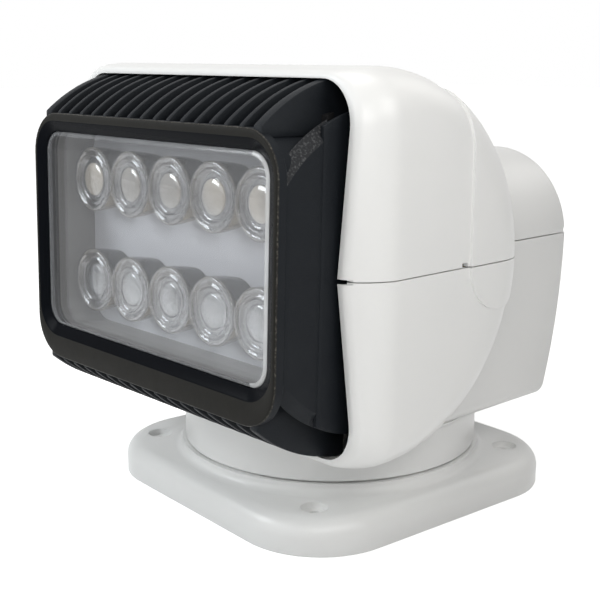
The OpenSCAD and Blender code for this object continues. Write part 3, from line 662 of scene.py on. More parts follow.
def thicken(obj: Piece, wall: float) -> Piece:
    """Gives an open skin a wall on its inner side.

    Args:
        obj: The skin.
        wall: Thickness of the wall in millimetres.

    Returns:
        The same object, as a plain mesh.
    """
    mod = obj.modifiers.new("wall", "SOLIDIFY")
    mod.thickness = wall * MM
    mod.offset = -1.0
    mod.use_even_offset = True
    mod.use_rim = True
    return apply_modifiers(obj)


def all_geometry(bm: bmesh.types.BMesh) -> list[bmesh.types.BMVert | bmesh.types.BMEdge | bmesh.types.BMFace]:
    """Lists all points, edges and faces of an open mesh."""
    return bm.verts[:] + bm.edges[:] + bm.faces[:]


def cut(obj: Piece, point: Point, normal: Point) -> Piece:
    """Cuts away the side of a skin that the normal points to.

    Args:
        obj: The skin, in metres.
        point: A point of the plane, in millimetres.
        normal: The plane's normal.

    Returns:
        The same object.
    """
    with edited(obj) as bm:
        bmesh.ops.bisect_plane(bm, geom=all_geometry(bm), dist=PLANE_MERGE, plane_co=Vector(point) * MM,
                               plane_no=Vector(normal), clear_outer=True)
    return obj


def join(name: str, parts: Sequence[Piece]) -> Piece:
    """Joins pieces into one.

    Args:
        name: Name of the joined piece.
        parts: The pieces, which are used up.

    Returns:
        The joined object.
    """
    bm = bmesh.new()
    for part in parts:
        bm.from_mesh(part.data)
        bpy.data.objects.remove(part)
    mesh = bpy.data.meshes.new(name)
    bm.to_mesh(mesh)
    bm.free()
    return new_piece(name, mesh)


def mark(obj: Piece, first: int, last: int, slot: LampSlot) -> None:
    """Gives a run of faces another material slot.

    Args:
        obj: The piece, just made.
        first: Number of the first face.
        last: Number after the last face.
        slot: Material slot of the faces.
    """
    for face in obj.data.polygons[first:last]:
        face.material_index = slot


def paint(obj: Piece, *materials: Material) -> Piece:
    """Gives a piece its materials, in slot order.

    Args:
        obj: The piece.
        materials: Its materials.

    Returns:
        The same object.
    """
    if len(obj.data.materials):
        obj.data.materials.clear()
    for mat in materials:
        obj.data.materials.append(mat)
    return obj


def place_piece(obj: Piece, body: str, slot: str, *solids: str) -> None:
    """Puts a finished piece on its body in place of its solids.

    Args:
        obj: The piece.
        body: Body that it rides on.
        slot: Name of a material slot; not used.
        solids: Solids that it stands for.
    """
    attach(obj, body)
    if solids:
        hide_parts(*solids)
    log.info("%s rides on %s", obj.name, body)


def dress(solids: Solids, mat: Material, *names: str) -> None:
    """Gives solids that stay in view their material.

    Args:
        solids: All solids by name.
        mat: The material.
        names: Solids that are made of it.
    """
    for name in names:
        paint(solids[name], mat)
        log.info("%s is dressed in %s", name, mat.name)


class RowTree:
    """A node tree that repeats a mesh on a row or a grid of points."""

    INPUTS = {"Geometry": "Geometry", "Columns": "Int", "Rows": "Int", "Width": "Float",
              "Height": "Float", "Finish": "Material"}

    def __init__(self, name: str, grid: bool) -> None:
        """Builds the tree.

        Args:
            name: Name of the tree.
            grid: Whether the points form a grid of columns and rows.
        """
        tree = bpy.data.node_groups.new(name, "GeometryNodeTree")
        self.tree = tree
        for label, kind in self.INPUTS.items():
            tree.interface.new_socket(label, in_out="INPUT", socket_type="NodeSocket" + kind)
        tree.interface.new_socket("Geometry", in_out="OUTPUT", socket_type="NodeSocketGeometry")
        source = tree.nodes.new("NodeGroupInput")
        points = self.grid_points(source) if grid else self.line_points(source)
        copies = add_node(tree, "GeometryNodeInstanceOnPoints", {
            "Points": points.outputs["Mesh"], "Instance": source.outputs["Geometry"]})
        real = add_node(tree, "GeometryNodeRealizeInstances", {"Geometry": copies.outputs["Instances"]})
        finish = add_node(tree, "GeometryNodeSetMaterial", {
            "Geometry": real.outputs["Geometry"], "Material": source.outputs["Finish"]})
        add_node(tree, "NodeGroupOutput", {"Geometry": finish.outputs["Geometry"]})

    def grid_points(self, source: Node) -> Node:
        """Adds a grid of points round the origin.

        Args:
            source: The node that holds the tree's inputs.

        Returns:
            The node that makes the points.
        """
        return add_node(self.tree, "GeometryNodeMeshGrid", {
            "Size X": source.outputs["Width"], "Size Y": source.outputs["Height"],
            "Vertices X": source.outputs["Columns"], "Vertices Y": source.outputs["Rows"]})

    def line_points(self, source: Node) -> Node:
        """Adds a line of points along X, with its middle at the origin.

        Args:
            source: The node that holds the tree's inputs.

        Returns:
            The node that makes the points.
        """
        ends = []
        for share in (-0.5, 0.5):
            reach = calc(self.tree, "MULTIPLY", source.outputs["Width"], share)
            ends.append(add_node(self.tree, "ShaderNodeCombineXYZ", {"X": reach}).outputs[0])
        line = self.tree.nodes.new("GeometryNodeMeshLine")
        line.mode = "END_POINTS"
        feed(self.tree, line, {
            "Count": source.outputs["Columns"], "Start Location": ends[0], "Offset": ends[1]})
        return line

    def spread(self, obj: Piece, columns: int, rows: int, width: float, height: float,
               mat: Material, place: Matrix) -> Piece:
        """Repeats a piece and puts the row in place.

        Args:
            obj: The single piece, made in its own frame.
            columns: Copies along X.
            rows: Copies along Y of the grid.
            width: Distance from the first to the last column, in millimetres.
            height: Distance from the first to the last row, in millimetres.
            mat: Material of the copies.
            place: Where the row goes, in millimetres.

        Returns:
            The row as a plain mesh.
        """
        mod = obj.modifiers.new("row", "NODES")
        mod.node_group = self.tree
        keys = {s.name: s.identifier for s in self.tree.interface.items_tree if s.in_out == "INPUT"}
        mod[keys["Columns"]] = columns
        mod[keys["Rows"]] = rows
        mod[keys["Width"]] = width * MM
        mod[keys["Height"]] = height * MM
        mod[keys["Finish"]] = mat
        return move(apply_modifiers(obj), place)


@dataclass
class Foot:
    """The square foot that is screwed to the deck."""

    edge_round: float = 0.35
    flat_angle: float = 0.4
    sharp: float = 35.0

    def skin(self, solid: Piece) -> Piece:
        """Copies the foot's solid with merged corners and rounded edges.

        Args:
            solid: The foot's solid.

        Returns:
            The copy, shaded smooth.
        """
        foot = new_piece("foot", solid.data.copy())
        with edited(foot) as bm:
            bmesh.ops.remove_doubles(bm, verts=bm.verts, dist=SOLID_MERGE)
            bmesh.ops.dissolve_limit(bm, angle_limit=math.radians(self.flat_angle), verts=bm.verts,
                                     edges=bm.edges)
        return smooth(bevel(foot, self.edge_round), self.sharp)

    def build(self, solids: Solids, palette: Palette) -> None:
        """Makes the foot's skin and dresses its inner pieces.

        Args:
            solids: All solids by name.
            palette: The finishes.
        """
        foot = paint(self.skin(solids["base_plate"]), palette.shell)
        place_piece(foot, "base", "shell_plastic", "base_plate")
        dress(solids, palette.steel, "pan_spindle", "spindle_screws", "gear_screws", "clamp_washer")
        dress(solids, palette.acetal, "pan_gear", "thrust_washer")
        dress(solids, palette.brass, "spindle_nut")
        dress(solids, palette.rubber, "pan_seal", "cable_grommet")


@dataclass(frozen=True)
class SeamSlot:
    """A small slot in the seam, on both sides of the head.

    Args:
        x: Sideways place of its middle.
        y: Its place along the lamp's line of sight.
        wide: Its width along the seam.
        tall: Its height from the seam.
    """

    x: float
    y: float
    wide: float
    tall: float


@dataclass
class Head:
    """The two housings of the turning head and what they hold."""

    # Drum round the tilt axis
    axis_y: float = -61.0
    axis_z: float = 123.5
    drum_r: float = 81.5
    drum_steps: int = 180
    half_w: float = 104.0
    side_steps: int = 26
    edge_r: float = 20.0
    edge_steps: int = 14
    flat_steps: int = 6
    wall: float = 2.5
    # Front rim, and the bend of the sides towards it
    rim_y: float = -83.5
    rim_room: float = 9.0
    rim_round: float = 1.9
    rim_steps: int = 6
    lean_up: float = 3.0
    lean_down: float = 3.6
    roll_r: float = 14.0
    roll_y: float = -66.0
    roll_blend: float = 8.0
    # Seam and its slots
    seam_gap: float = 0.5
    slot_deep: float = 14.0
    # Rear body
    rear_half: float = 77.0
    rear_top: float = 163.5
    rear_top_r: float = 42.0
    rear_low: float = 42.4
    rear_edge_r: float = 5.0
    rear_least_r: float = 0.8
    rear_middle: float = 30.0
    rear_back: float = 90.0
    rear_rows: int = 10
    rear_side_steps: int = 24
    rear_low_steps: int = 8
    rear_round_steps: int = 6
    sweep_r: float = 253.0
    # Neck
    neck_r: float = 73.3
    neck_low: float = 21.6
    neck_lap: float = 0.8
    neck_fillet: float = 2.5
    neck_edge: float = 0.6
    neck_inner_edge: float = 0.4
    neck_turns: int = 144
    neck_sharp: float = 30.0
    fillet_steps: int = 6
    # Cover over the tilt gear
    cover_y: float = -21.5
    cover_r: float = 20.5
    cover_steps: int = 36
    cover_proud: float = 1.2
    cover_sink: float = 0.8
    cover_round: float = 0.5
    # Edges
    edge_round: float = 0.7
    round_steps: int = 3
    sharp: float = 32.0

    def drum_skin(self, name: str, upper: bool, grow: float = 0.0) -> Piece:
        """Makes one half of the drum's outer skin, with its sides rolled in at the front.

        Args:
            name: Name of the skin.
            upper: Whether it is the half above the seam.
            grow: How far it is offset outwards.

        Returns:
            The open skin.
        """
        radius = self.drum_r + grow
        half = self.half_w + grow
        edge = self.edge_r + grow
        flat_r = radius - edge
        inner = half - edge
        profile = [(half, flat_r * k / self.side_steps) for k in range(1, self.side_steps)]
        profile += [(inner + edge * c, flat_r + edge * s) for c, s in quarter(self.edge_steps)]
        profile += [(inner * (1.0 - k / self.flat_steps), radius) for k in range(1, self.flat_steps)]
        profile += [(0.0, radius)]
        profile += [(-x, r) for x, r in reversed(profile[:-1])]
        steps = self.drum_steps
        verts: list[Point] = []
        for i in range(steps + 1):
            a = math.pi * i / steps * (1.0 if upper else -1.0)
            for x, r in profile:
                y = self.axis_y - r * math.cos(a)
                verts.append((self.rolled(x, y, grow), y, self.axis_z + r * math.sin(a)))
        count = len(profile)
        faces = quads(steps + 1, count)
        hub = len(verts)
        hub_x = self.rolled(half, self.axis_y, grow)
        verts += [(hub_x, self.axis_y, self.axis_z), (-hub_x, self.axis_y, self.axis_z)]
        for i in range(steps):
            faces.append((hub, i * count, (i + 1) * count))
            faces.append((hub + 1, (i + 1) * count + count - 1, i * count + count - 1))
        skin = mesh_from(name, verts, faces)
        self.face_out(skin)
        return skin

    def rolled(self, x: float, y: float, grow: float) -> float:
        """Pulls a side point in along the plan's bend towards the rim.

        Args:
            x: Sideways place of the point.
            y: Its place along the lamp's line of sight.
            grow: How far the skin is offset outwards.

        Returns:
            The new sideways place.
        """
        bend = self.roll_r + grow
        wide = self.half_w + grow
        limit = self.half_w - self.roll_r + bend * math.sqrt(2.0) + (y - self.roll_y)
        # The lesser of the two, blended smoothly where they meet
        blend = max(self.roll_blend - abs(wide - limit), 0.0) / self.roll_blend
        local = min(wide, limit) - blend * blend * self.roll_blend / 4.0
        inner = self.half_w - self.edge_r
        if abs(x) <= inner:
            return x * (inner - wide + local) / inner
        return math.copysign(abs(x) - wide + local, x)

    def face_out(self, skin: Piece) -> None:
        """Turns an open skin's faces away from the middle of the drum.

        Args:
            skin: The skin.
        """
        middle = Vector((0.0, self.axis_y, self.axis_z)) * MM
        with edited(skin) as bm:
            bmesh.ops.remove_doubles(bm, verts=bm.verts, dist=MERGE)
            wrong = [f for f in bm.faces if f.normal.dot(f.calc_center_median() - middle) < 0.0]
            bmesh.ops.reverse_faces(bm, faces=wrong)

    def cut_seam(self, skin: Piece, upper: bool) -> None:
        """Cuts a half's skin back to its side of the seam.

        Args:
            skin: The skin.
            upper: Whether it is the half above the seam.
        """
        side = 1.0 if upper else -1.0
        cut(skin, (0.0, 0.0, self.axis_z + side * self.seam_gap / 2.0), (0.0, 0.0, -side))

    def trim_rim(self, shell: Piece, upper: bool) -> Piece:
        """Cuts a walled half at its leaning front rim and rounds the rim's outer corner.

        Args:
            shell: The half, whose outer wall comes first in its points.
            upper: Whether it is the half above the seam.

        Returns:
            The same object.
        """
        lean = math.tan(math.radians(self.lean_up if upper else self.lean_down))
        ahead = Vector((0.0, -1.0, lean if upper else -lean)).normalized()
        corner = Vector((0.0, self.rim_y, self.axis_z)) * MM
        with edited(shell) as bm:
            outer = bm.verts.layers.float.new("outer")
            for k, vert in enumerate(bm.verts):
                vert[outer] = 1.0 if k < len(bm.verts) // 2 else 0.0
            for k, (_, rise) in enumerate(quarter(self.rim_steps)):
                depth = self.rim_round * (1.0 - rise) * MM
                made = bmesh.ops.bisect_plane(bm, geom=all_geometry(bm), dist=PLANE_MERGE,
                                              plane_co=corner - ahead * depth, plane_no=ahead,
                                              clear_outer=k == self.rim_steps)
            bm.normal_update()
            self.round_rim(bm, outer, corner, ahead)
            rim = [e for e in made["geom_cut"] if isinstance(e, bmesh.types.BMEdge) and e.is_boundary]
            bmesh.ops.triangle_fill(bm, edges=rim, use_beauty=True, use_dissolve=False)
            bmesh.ops.recalc_face_normals(bm, faces=bm.faces)
            bm.verts.layers.float.remove(outer)
        return shell

    def round_rim(self, bm: bmesh.types.BMesh, outer: bmesh.types.BMLayerItem, corner: Vector,
                  ahead: Vector) -> None:
        """Draws the outer wall in towards the rim along a quarter circle.

        Args:
            bm: The cut half.
            outer: Layer that is 1 on the outer wall.
            corner: A point of the rim's plane.
            ahead: The way that the rim's plane faces.
        """
        radius = self.rim_round * MM
        whole, least = 0.99, 1e-8
        moves: list[tuple[bmesh.types.BMVert, Vector]] = []
        for vert in bm.verts:
            left = radius - (corner - vert.co).dot(ahead)
            if left <= least or vert[outer] < whole:
                continue
            skin = [f for f in vert.link_faces if all(v[outer] > whole for v in f.verts)]
            normal = sum((f.normal * f.calc_area() for f in skin), Vector())
            out = (normal - ahead * normal.dot(ahead)).normalized()
            drawn = radius - math.sqrt(max(radius ** 2 - min(left, radius) ** 2, 0.0))
            moves.append((vert, out * -drawn))
        for vert, step in moves:
            vert.co += step

    def drum_half(self, upper: bool) -> Piece:
        """Makes one half of the drum with its wall and rounded rims.

        Args:
            upper: Whether it is the half above the seam.

        Returns:
            The half.
        """
        skin = self.drum_skin("drum_half", upper)
        cut(skin, (0.0, self.rim_y - self.rim_room, 0.0), (0.0, -1.0, 0.0))
        self.cut_seam(skin, upper)
        shell = self.trim_rim(thicken(skin, self.wall), upper)
        return bevel(shell, self.edge_round, self.round_steps)

    def gear_cover(self, upper: bool) -> Piece:
        """Makes the raised cover over the tilt gear on one half of the drum.

        Args:
            upper: Whether it is the half above the seam.

        Returns:
            The cover, with a straight front above the seam and a round one below it.
        """
        skin = self.drum_skin("gear_cover", upper, self.cover_proud)
        self.cut_seam(skin, upper)
        if upper:
            cut(skin, (0.0, self.cover_y, 0.0), (0.0, -1.0, 0.0))
        else:
            centre_y = self.cover_y + self.cover_r
            for k in range(self.cover_steps + 1):
                a = math.radians(180.0 + 180.0 * k / self.cover_steps)
                out = (0.0, math.cos(a), math.sin(a))
                cut(skin, (0.0, centre_y + self.cover_r * out[1], self.axis_z + self.cover_r * out[2]), out)
        return bevel(thicken(skin, self.cover_proud + self.cover_sink), self.cover_round, self.round_steps)

    def rear_section(self, inset: float, upper: bool) -> list[Flat]:
        """Half of the rear body's cross-section, from the seam to the middle.

        Args:
            inset: How far the section is drawn in.
            upper: Whether it is the part above the seam.

        Returns:
            Points (x, z) on the right side.
        """
        half = self.rear_half - inset
        steps = self.rear_side_steps
        if upper:
            radius = self.rear_top_r - inset
            level = self.rear_top - inset
            seam = self.axis_z + self.seam_gap / 2.0
            start = math.asin((seam - (level - radius)) / radius)
            angles = [start + (math.pi / 2 - start) * k / steps for k in range(steps + 1)]
            points = [(half - radius + radius * math.cos(a), level - radius + radius * math.sin(a))
                      for a in angles]
        else:
            radius = max(self.rear_edge_r - inset, self.rear_least_r)
            level = self.rear_low + inset
            seam = self.axis_z - self.seam_gap / 2.0
            points = [(half, seam + (level + radius - seam) * k / steps) for k in range(steps)]
            points += [(half - radius + radius * c, level + radius - radius * s)
                       for c, s in quarter(self.rear_low_steps)]
        points += [((half - radius) * (1.0 - k / self.flat_steps), level)
                   for k in range(1, self.flat_steps + 1)]
        return points

    def drum_back(self, x: float, z: float) -> float:
        """Finds the middle of the drum's wall behind a point of the rear section.

        Args:
            x: Sideways place of the point.
            z: Its height.

        Returns:
            The wall's place along the lamp's line of sight.
        """
        out = max(abs(x) - (self.half_w - self.edge_r), 0.0)
        radius = self.drum_r - self.edge_r + math.sqrt(max(self.edge_r ** 2 - out ** 2, 0.0))
        radius -= self.wall * 0.5
        return self.axis_y + math.sqrt(max(radius ** 2 - (z - self.axis_z) ** 2, 0.0))

    def rear_wall(self, z: float) -> float:
        """Y of the swept rear wall at a height."""
        drop = max(self.axis_z - z, 0.0)
        return self.rear_back - self.sweep_r + math.sqrt(self.sweep_r ** 2 - drop ** 2)

    def rear_rings(self, upper: bool) -> list[list[Point]]:
        """Sections of one half of the rear body, from the drum's wall to the rounded back.

        Args:
            upper: Whether it is the half above the seam.

        Returns:
            Rows of points from side to side.
        """
        edge = self.rear_edge_r
        base = self.rear_section(0.0, upper)
        rows: list[list[Point]] = []
        for k in range(self.rear_rows + 1):
            share = k / self.rear_rows
            row = []
            for x, z in base:
                front = self.drum_back(x, z)
                back = self.rear_wall(z) - edge
                row.append((x, front + (back - front) * share, z))
            rows.append(row)
        for c, s in quarter(self.rear_round_steps)[1:]:
            section = self.rear_section(edge * (1.0 - c), upper)
            rows.append([(x, self.rear_wall(z) - edge * (1.0 - s), z) for x, z in section])
        return [row + [(-x, y, z) for x, y, z in reversed(row[:-1])] for row in rows]

    def rear_skin(self, upper: bool) -> Piece:
        """Makes one half of the rear body.

        Args:
            upper: Whether it is the half above the seam.

        Returns:
            The half, with its wall.
        """
        rows = self.rear_rings(upper)
        count = len(rows[0])
        faces = quads(len(rows), count)
        last = (len(rows) - 1) * count
        faces += [(last + k, last + k + 1, last + count - 2 - k, last + count - 1 - k)
                  for k in range(count // 2 - 1)]
        faces.append((last + count // 2 - 1, last + count // 2, last + count // 2 + 1))
        skin = mesh_from("rear_skin", [p for row in rows for p in row], faces)
        middle = Vector((0.0, self.rear_middle, self.axis_z)) * MM
        with edited(skin) as bm:
            bmesh.ops.remove_doubles(bm, verts=bm.verts, dist=MERGE)
            bmesh.ops.recalc_face_normals(bm, faces=bm.faces)
            wrong = sum(1 if f.normal.dot(f.calc_center_median() - middle) < 0 else -1 for f in bm.faces)
            if wrong > 0:
                bmesh.ops.reverse_faces(bm, faces=bm.faces)
        self.cut_seam(skin, upper)
        return bevel(thicken(skin, self.wall), self.edge_round, self.round_steps)

    def slot_cutter(self, upper: bool) -> Piece:
        """Makes the blocks that cut the small slots in the seam of one half.

        Args:
            upper: Whether it is the half above the seam.

        Returns:
            All blocks as one piece.
        """
        slots = [SeamSlot(x=90.0, y=self.rim_y + 1.0, wide=3.4, tall=1.0)]
        if upper:
            slots += [SeamSlot(x=self.half_w, y=self.cover_y - 3.0, wide=3.6, tall=2.0),
                      SeamSlot(x=76.0, y=self.rear_back - 2.0, wide=4.5, tall=2.2)]
        cutter = new_piece("slot_cutter", bpy.data.meshes.new("slot_cutter"))
        with edited(cutter) as bm:
            for slot in slots:
                for side in (-1.0, 1.0):
                    made = bmesh.ops.create_cube(bm, size=1.0)["verts"]
                    size = Vector((self.slot_deep, slot.wide, 2.0 * slot.tall)) * MM
                    bmesh.ops.scale(bm, verts=made, vec=size)
                    bmesh.ops.translate(bm, verts=made, vec=Vector((side * slot.x, slot.y, self.axis_z)) * MM)
        return cutter

    def cut_slots(self, obj: Piece, upper: bool) -> Piece:
        """Cuts the seam's slots out of a half.

        Args:
            obj: The half.
            upper: Whether it is the half above the seam.

        Returns:
            The same object.
        """
        cutter = self.slot_cutter(upper)
        mod = obj.modifiers.new("slots", "BOOLEAN")
        mod.operation = "DIFFERENCE"
        mod.object = cutter
        mod.solver = "EXACT"
        apply_modifiers(obj)
        bpy.data.objects.remove(cutter)
        return obj

    def neck(self) -> Piece:
        """Makes the neck ring with a small fillet under the housing.

        Returns:
            The ring.
        """
        r, low, fillet = self.neck_r, self.neck_low, self.neck_fillet
        inner, top = r - self.wall, self.rear_low + self.neck_lap
        profile = [(inner, low + self.neck_inner_edge), (inner + self.neck_inner_edge, low),
                   (r - self.neck_edge, low), (r, low + self.neck_edge)]
        profile += [(r + fillet - fillet * c, self.rear_low - fillet + fillet * s)
                    for c, s in quarter(self.fillet_steps)]
        profile += [(r + fillet, top), (inner, top)]
        return smooth(revolve("neck", profile, self.neck_turns), self.neck_sharp)

    def build(self, solids: Solids, palette: Palette) -> None:
        """Makes both housings and dresses what they hold.

        Args:
            solids: All solids by name.
            palette: The finishes.
        """
        parts = [self.cut_slots(self.drum_half(True), True), self.gear_cover(True),
                 self.cut_slots(self.rear_skin(True), True)]
        upper = smooth(join("upper_shell", parts), self.sharp)
        place_piece(paint(upper, palette.shell), "head", "shell_plastic", "upper_housing")
        parts = [self.cut_slots(self.drum_half(False), False), self.gear_cover(False),
                 self.rear_skin(False), self.neck()]
        lower = smooth(join("lower_shell", parts), self.sharp)
        place_piece(paint(lower, palette.shell), "head", "shell_plastic", "lower_housing")
        dress(solids, palette.steel, "housing_screws", "pan_gearmotor", "pan_motor_screws",
              "tilt_gearmotor", "tilt_bracket", "tilt_motor_screws", "bracket_screws", "board_screws",
              "pan_shaft", "tilt_shaft")
        dress(solids, palette.acetal, "pan_bush", "tilt_bush_left", "tilt_bush_right")
        dress(solids, palette.brass, "pan_pinion", "tilt_pinion")
        dress(solids, palette.circuit, "control_board")
        dress(solids, palette.component, "board_components")


@dataclass(frozen=True)
class RoundFrame:
    """A rectangle with round corners across the lamp's line of sight.

    Args:
        half_w: Half of its width.
        half_h: Half of its height.
        corner_r: Radius of its corners.
        rise: Height of its middle over the tilt axis.
    """

    half_w: float
    half_h: float
    corner_r: float
    rise: float = 0.0
    least_r: float = 0.3
    corner_steps: int = 10
    edge_steps: int = 5

    def loop(self, y: float, grow: float = 0.0) -> list[Point]:
        """Makes one closed loop.

        Args:
            y: Its place along the line of sight.
            grow: How far it is offset outwards.

        Returns:
            The points of the loop.
        """
        corner = max(self.corner_r + grow, self.least_r)
        outline = rounded_rect(self.half_w + grow, self.half_h + grow, corner, self.corner_steps)
        return [(x, y, z + self.rise) for x, z in outline]

    def soft_edge(self, front: float, depth: float, inset: float) -> list[list[Point]]:
        """Makes the loops of a rounded front edge, from the side to the front.

        Args:
            front: Place of the front along the line of sight.
            depth: How far the rounding reaches back.
            inset: How far it reaches in.

        Returns:
            The loops.
        """
        return [self.loop(front + depth * (1.0 - s), inset * (c - 1.0)) for c, s in quarter(self.edge_steps)]


# Profiles of one lens. The rim is (radius, depth below the front), the others (radius, height)
LENS_RIM = ((14.9, 1.4), (14.9, 0.7), (14.7, 0.25), (14.3, 0.0), (13.3, 0.0), (12.8, 0.3), (12.3, 0.6),
            (11.7, 0.3), (11.3, 0.0), (10.9, 0.0), (10.5, 0.3), (10.2, 0.8), (9.4, 1.3), (8.4, 1.4))
LENS_WELL = ((10.6, 0.0), (10.6, 3.0), (10.2, 3.0), (8.0, 1.6), (7.6, 1.4), (7.6, 0.0))
LENS_EYE = ((7.6, 0.0), (7.6, 0.5), (7.4, 0.7), (5.0, 1.0), (2.5, 1.15), (0.0, 1.2), (0.0, 0.0))


@dataclass
class Lamp:
    """The lamp: finned casting, bezel, clear cover and its lenses.

    Places along the line of sight are measured from the tilt axis, with the front at minus.
    """

    # The lamp as a whole
    axis_y: float = -61.0
    axis_z: float = 123.5
    tilt: float = 1.5
    outer_r: float = 78.2
    half_w: float = 87.2
    gap: float = 0.1
    casting_sharp: float = 35.0
    bezel_sharp: float = 40.0
    # Lip of the bezel, with the bevel and the sill round the window
    front: float = -52.5
    lip_back: float = -47.5
    lip_t: float = 3.6
    lip_edge: float = 0.6
    lip_round: float = 1.1
    lip_sharp: float = 50.0
    corner_r: float = 19.0
    bevel_w: float = 4.5
    bevel_edge: float = 0.4
    bevel_drop: float = 0.25
    sill_w: float = 0.2
    sill_drop: float = 0.3
    # Side plates
    crease: float = -30.0
    flange_back: float = -25.0
    flange_lap: float = 0.2
    flange_slope: float = 2.5
    panel_back: float = -10.0
    panel_t: float = 2.0
    cheek_r: float = 66.0
    cheek_slope: float = 5.2
    cheek_inner: float = 83.2
    cheek_lap: float = 0.5
    cheek_least_t: float = 0.3
    cheek_round: float = 0.35
    cheek_rows: int = 8
    cheek_columns: int = 24
    slope_columns: int = 4
    # Window, clear cover and chamber
    window_half_w: float = 80.0
    window_half_h: float = 46.0
    window_r: float = 10.0
    window_rise: float = 3.4
    window_recess: float = 2.2
    cover_edge: float = 2.0
    cover_edge_deep: float = 1.0
    cover_flange: float = 3.1
    cover_flange_t: float = 2.0
    # Share of the corner radius past which the right edge takes the painted highlight
    highlight_corner: float = 1.5
    cover_sharp: float = 30.0
    chamber_clear: float = 5.6
    chamber_corner: float = 3.2
    chamber_lap: float = 1.0
    chamber_t: float = 2.4
    chamber_corner_t: float = 1.0
    # Fins
    fin_count: int = 17
    fin_pitch: float = 9.3
    fin_t: float = 2.6
    fin_round: float = 0.45
    fin_lap: float = 0.8
    end_fin_t: float = 5.0
    end_fin_round: float = 0.6
    end_fin_lap: float = 4.5
    fin_nose: float = 0.8
    fin_back: float = -4.0
    fin_root: float = 2.4
    fin_sink: float = 2.0
    fin_clear: float = 5.0
    arc_steps: int = 16
    # Casting behind the board
    core_half_w: float = 80.0
    core_half_h: float = 43.0
    core_back: float = 9.0
    core_round: float = 1.0
    frame_back: float = -17.9
    frame_round: float = 0.6
    rim_half_h: float = 57.4
    rim_inset: float = 2.4
    rim_r: float = 16.0
    rim_clear: float = 3.3
    rim_lap: float = 0.5
    board_y: float = -23.5
    board_t: float = 2.0
    # Lenses
    optic_columns: int = 5
    optic_rows: int = 2
    optic_pitch: float = 30.0
    row_pitch: float = 48.0
    optic_h: float = 15.0
    optic_foot_r: float = 13.2
    optic_flare: float = 1.7
    optic_side_t: float = 0.8
    optic_side_steps: int = 10
    optic_rim_t: float = 1.4
    optic_front_t: float = 2.0
    optic_seat_r: float = 14.4
    optic_turns: int = 64
    well_turns: int = 48
    optic_sharp: float = 40.0
    dome_r: float = 8.0
    dome_h: float = 1.3
    dome_steps: int = 8
    well_deep: float = 6.0
    eye_deep: float = 2.7
    # Worked out from the rest
    place: Matrix = field(init=False)
    half_h: float = field(init=False)
    window: RoundFrame = field(init=False)

    def __post_init__(self) -> None:
        """Works out the lamp's height, its window and where its own frame sits in the head."""
        self.place = (Matrix.Translation((0.0, self.axis_y, self.axis_z))
                      @ Matrix.Rotation(math.radians(-self.tilt), 4, "X"))
        self.half_h = math.sqrt(self.outer_r ** 2 - self.front ** 2)
        self.window = RoundFrame(self.window_half_w, self.window_half_h, self.window_r, self.window_rise)

    def bezel_lip(self) -> Piece:
        """Makes the bezel's front ring with its rounded edge and its bevel.

        Returns:
            The ring, with the slots of its side, worn edge and bevel marked.
        """
        outer = RoundFrame(self.half_w, self.half_h, self.corner_r)
        sill = self.front + self.window_recess
        loops = [outer.loop(self.lip_back, -self.lip_t), outer.loop(self.lip_back, -self.lip_edge),
                 outer.loop(self.lip_back - self.lip_edge)]
        loops += outer.soft_edge(self.front, self.lip_round, self.lip_round)
        loops += [self.window.loop(self.front, self.bevel_w + self.bevel_edge),
                  self.window.loop(self.front + self.bevel_drop, self.bevel_w),
                  self.window.loop(sill, self.sill_w), self.window.loop(sill + self.sill_drop),
                  self.window.loop(self.lip_back)]
        lip = loft("bezel_lip", loops, self.place)
        count = len(loops[0])
        # Rings of faces: four of the side, two of the worn edge and, past the front, four of the bevel
        mark(lip, 0, 4 * count, LampSlot.SIDE)
        mark(lip, 4 * count, 6 * count, LampSlot.WORN)
        mark(lip, 9 * count, 13 * count, LampSlot.GLOSS)
        return smooth(tidy_normals(lip), self.lip_sharp)

    def cheek_plate(self, name: str, side: float, reach: Flat, sides: Flat, slope: float) -> Piece:
        """Makes one side plate that ends on a circle round the tilt axis.

        Args:
            name: Name of the plate.
            side: 1 on the right, -1 on the left.
            reach: Front and back of the plate.
            sides: Inner and outer side of the plate.
            slope: How far the outer side slopes in before its round edge, or 0.

        Returns:
            The plate, with the slots of its side and of the top strip of its sloped edge marked; the bottom
            strip keeps the dark side finish as painted shade.
        """
        inner, outer = sides
        rows, middle = self.cheek_rows, self.cheek_columns
        strip = self.slope_columns if slope else 0
        flat_r = self.cheek_r - slope
        verts: list[Point] = []
        for i in range(rows + 1):
            y = reach[0] + (reach[1] - reach[0]) * i / rows
            flat, end = math.sqrt(flat_r ** 2 - y * y), math.sqrt(self.cheek_r ** 2 - y * y)
            line = [-end + (end - flat) * k / strip for k in range(strip)]
            line += [flat * (2.0 * k / middle - 1.0) for k in range(middle + 1)]
            line += [flat + (end - flat) * (k + 1) / strip for k in range(strip)]
            for z in line:
                drop = max(math.hypot(y, z) - flat_r, 0.0)
                x = outer - (drop * (outer - inner) / slope if slope else 0.0)
                verts.append((side * max(x, inner + self.cheek_least_t), y, z))
        columns = middle + 2 * strip
        count = columns + 1
        faces = quads(rows + 1, count)
        shift = len(verts)
        verts += [(side * inner, y, z) for _, y, z in verts]
        faces += [tuple(reversed([shift + v for v in f])) for f in faces]
        border = ([(0, k) for k in range(columns)] + [(i, columns) for i in range(rows)]
                  + [(rows, k) for k in range(columns, 0, -1)] + [(i, 0) for i in range(rows, 0, -1)])
        loop = [i * count + k for i, k in border]
        faces += [(a, b, b + shift, a + shift) for a, b in zip(loop, loop[1:] + loop[:1])]
        plate = mesh_from(name, verts, faces, self.place)
        mark(plate, 0, len(faces), LampSlot.SIDE)
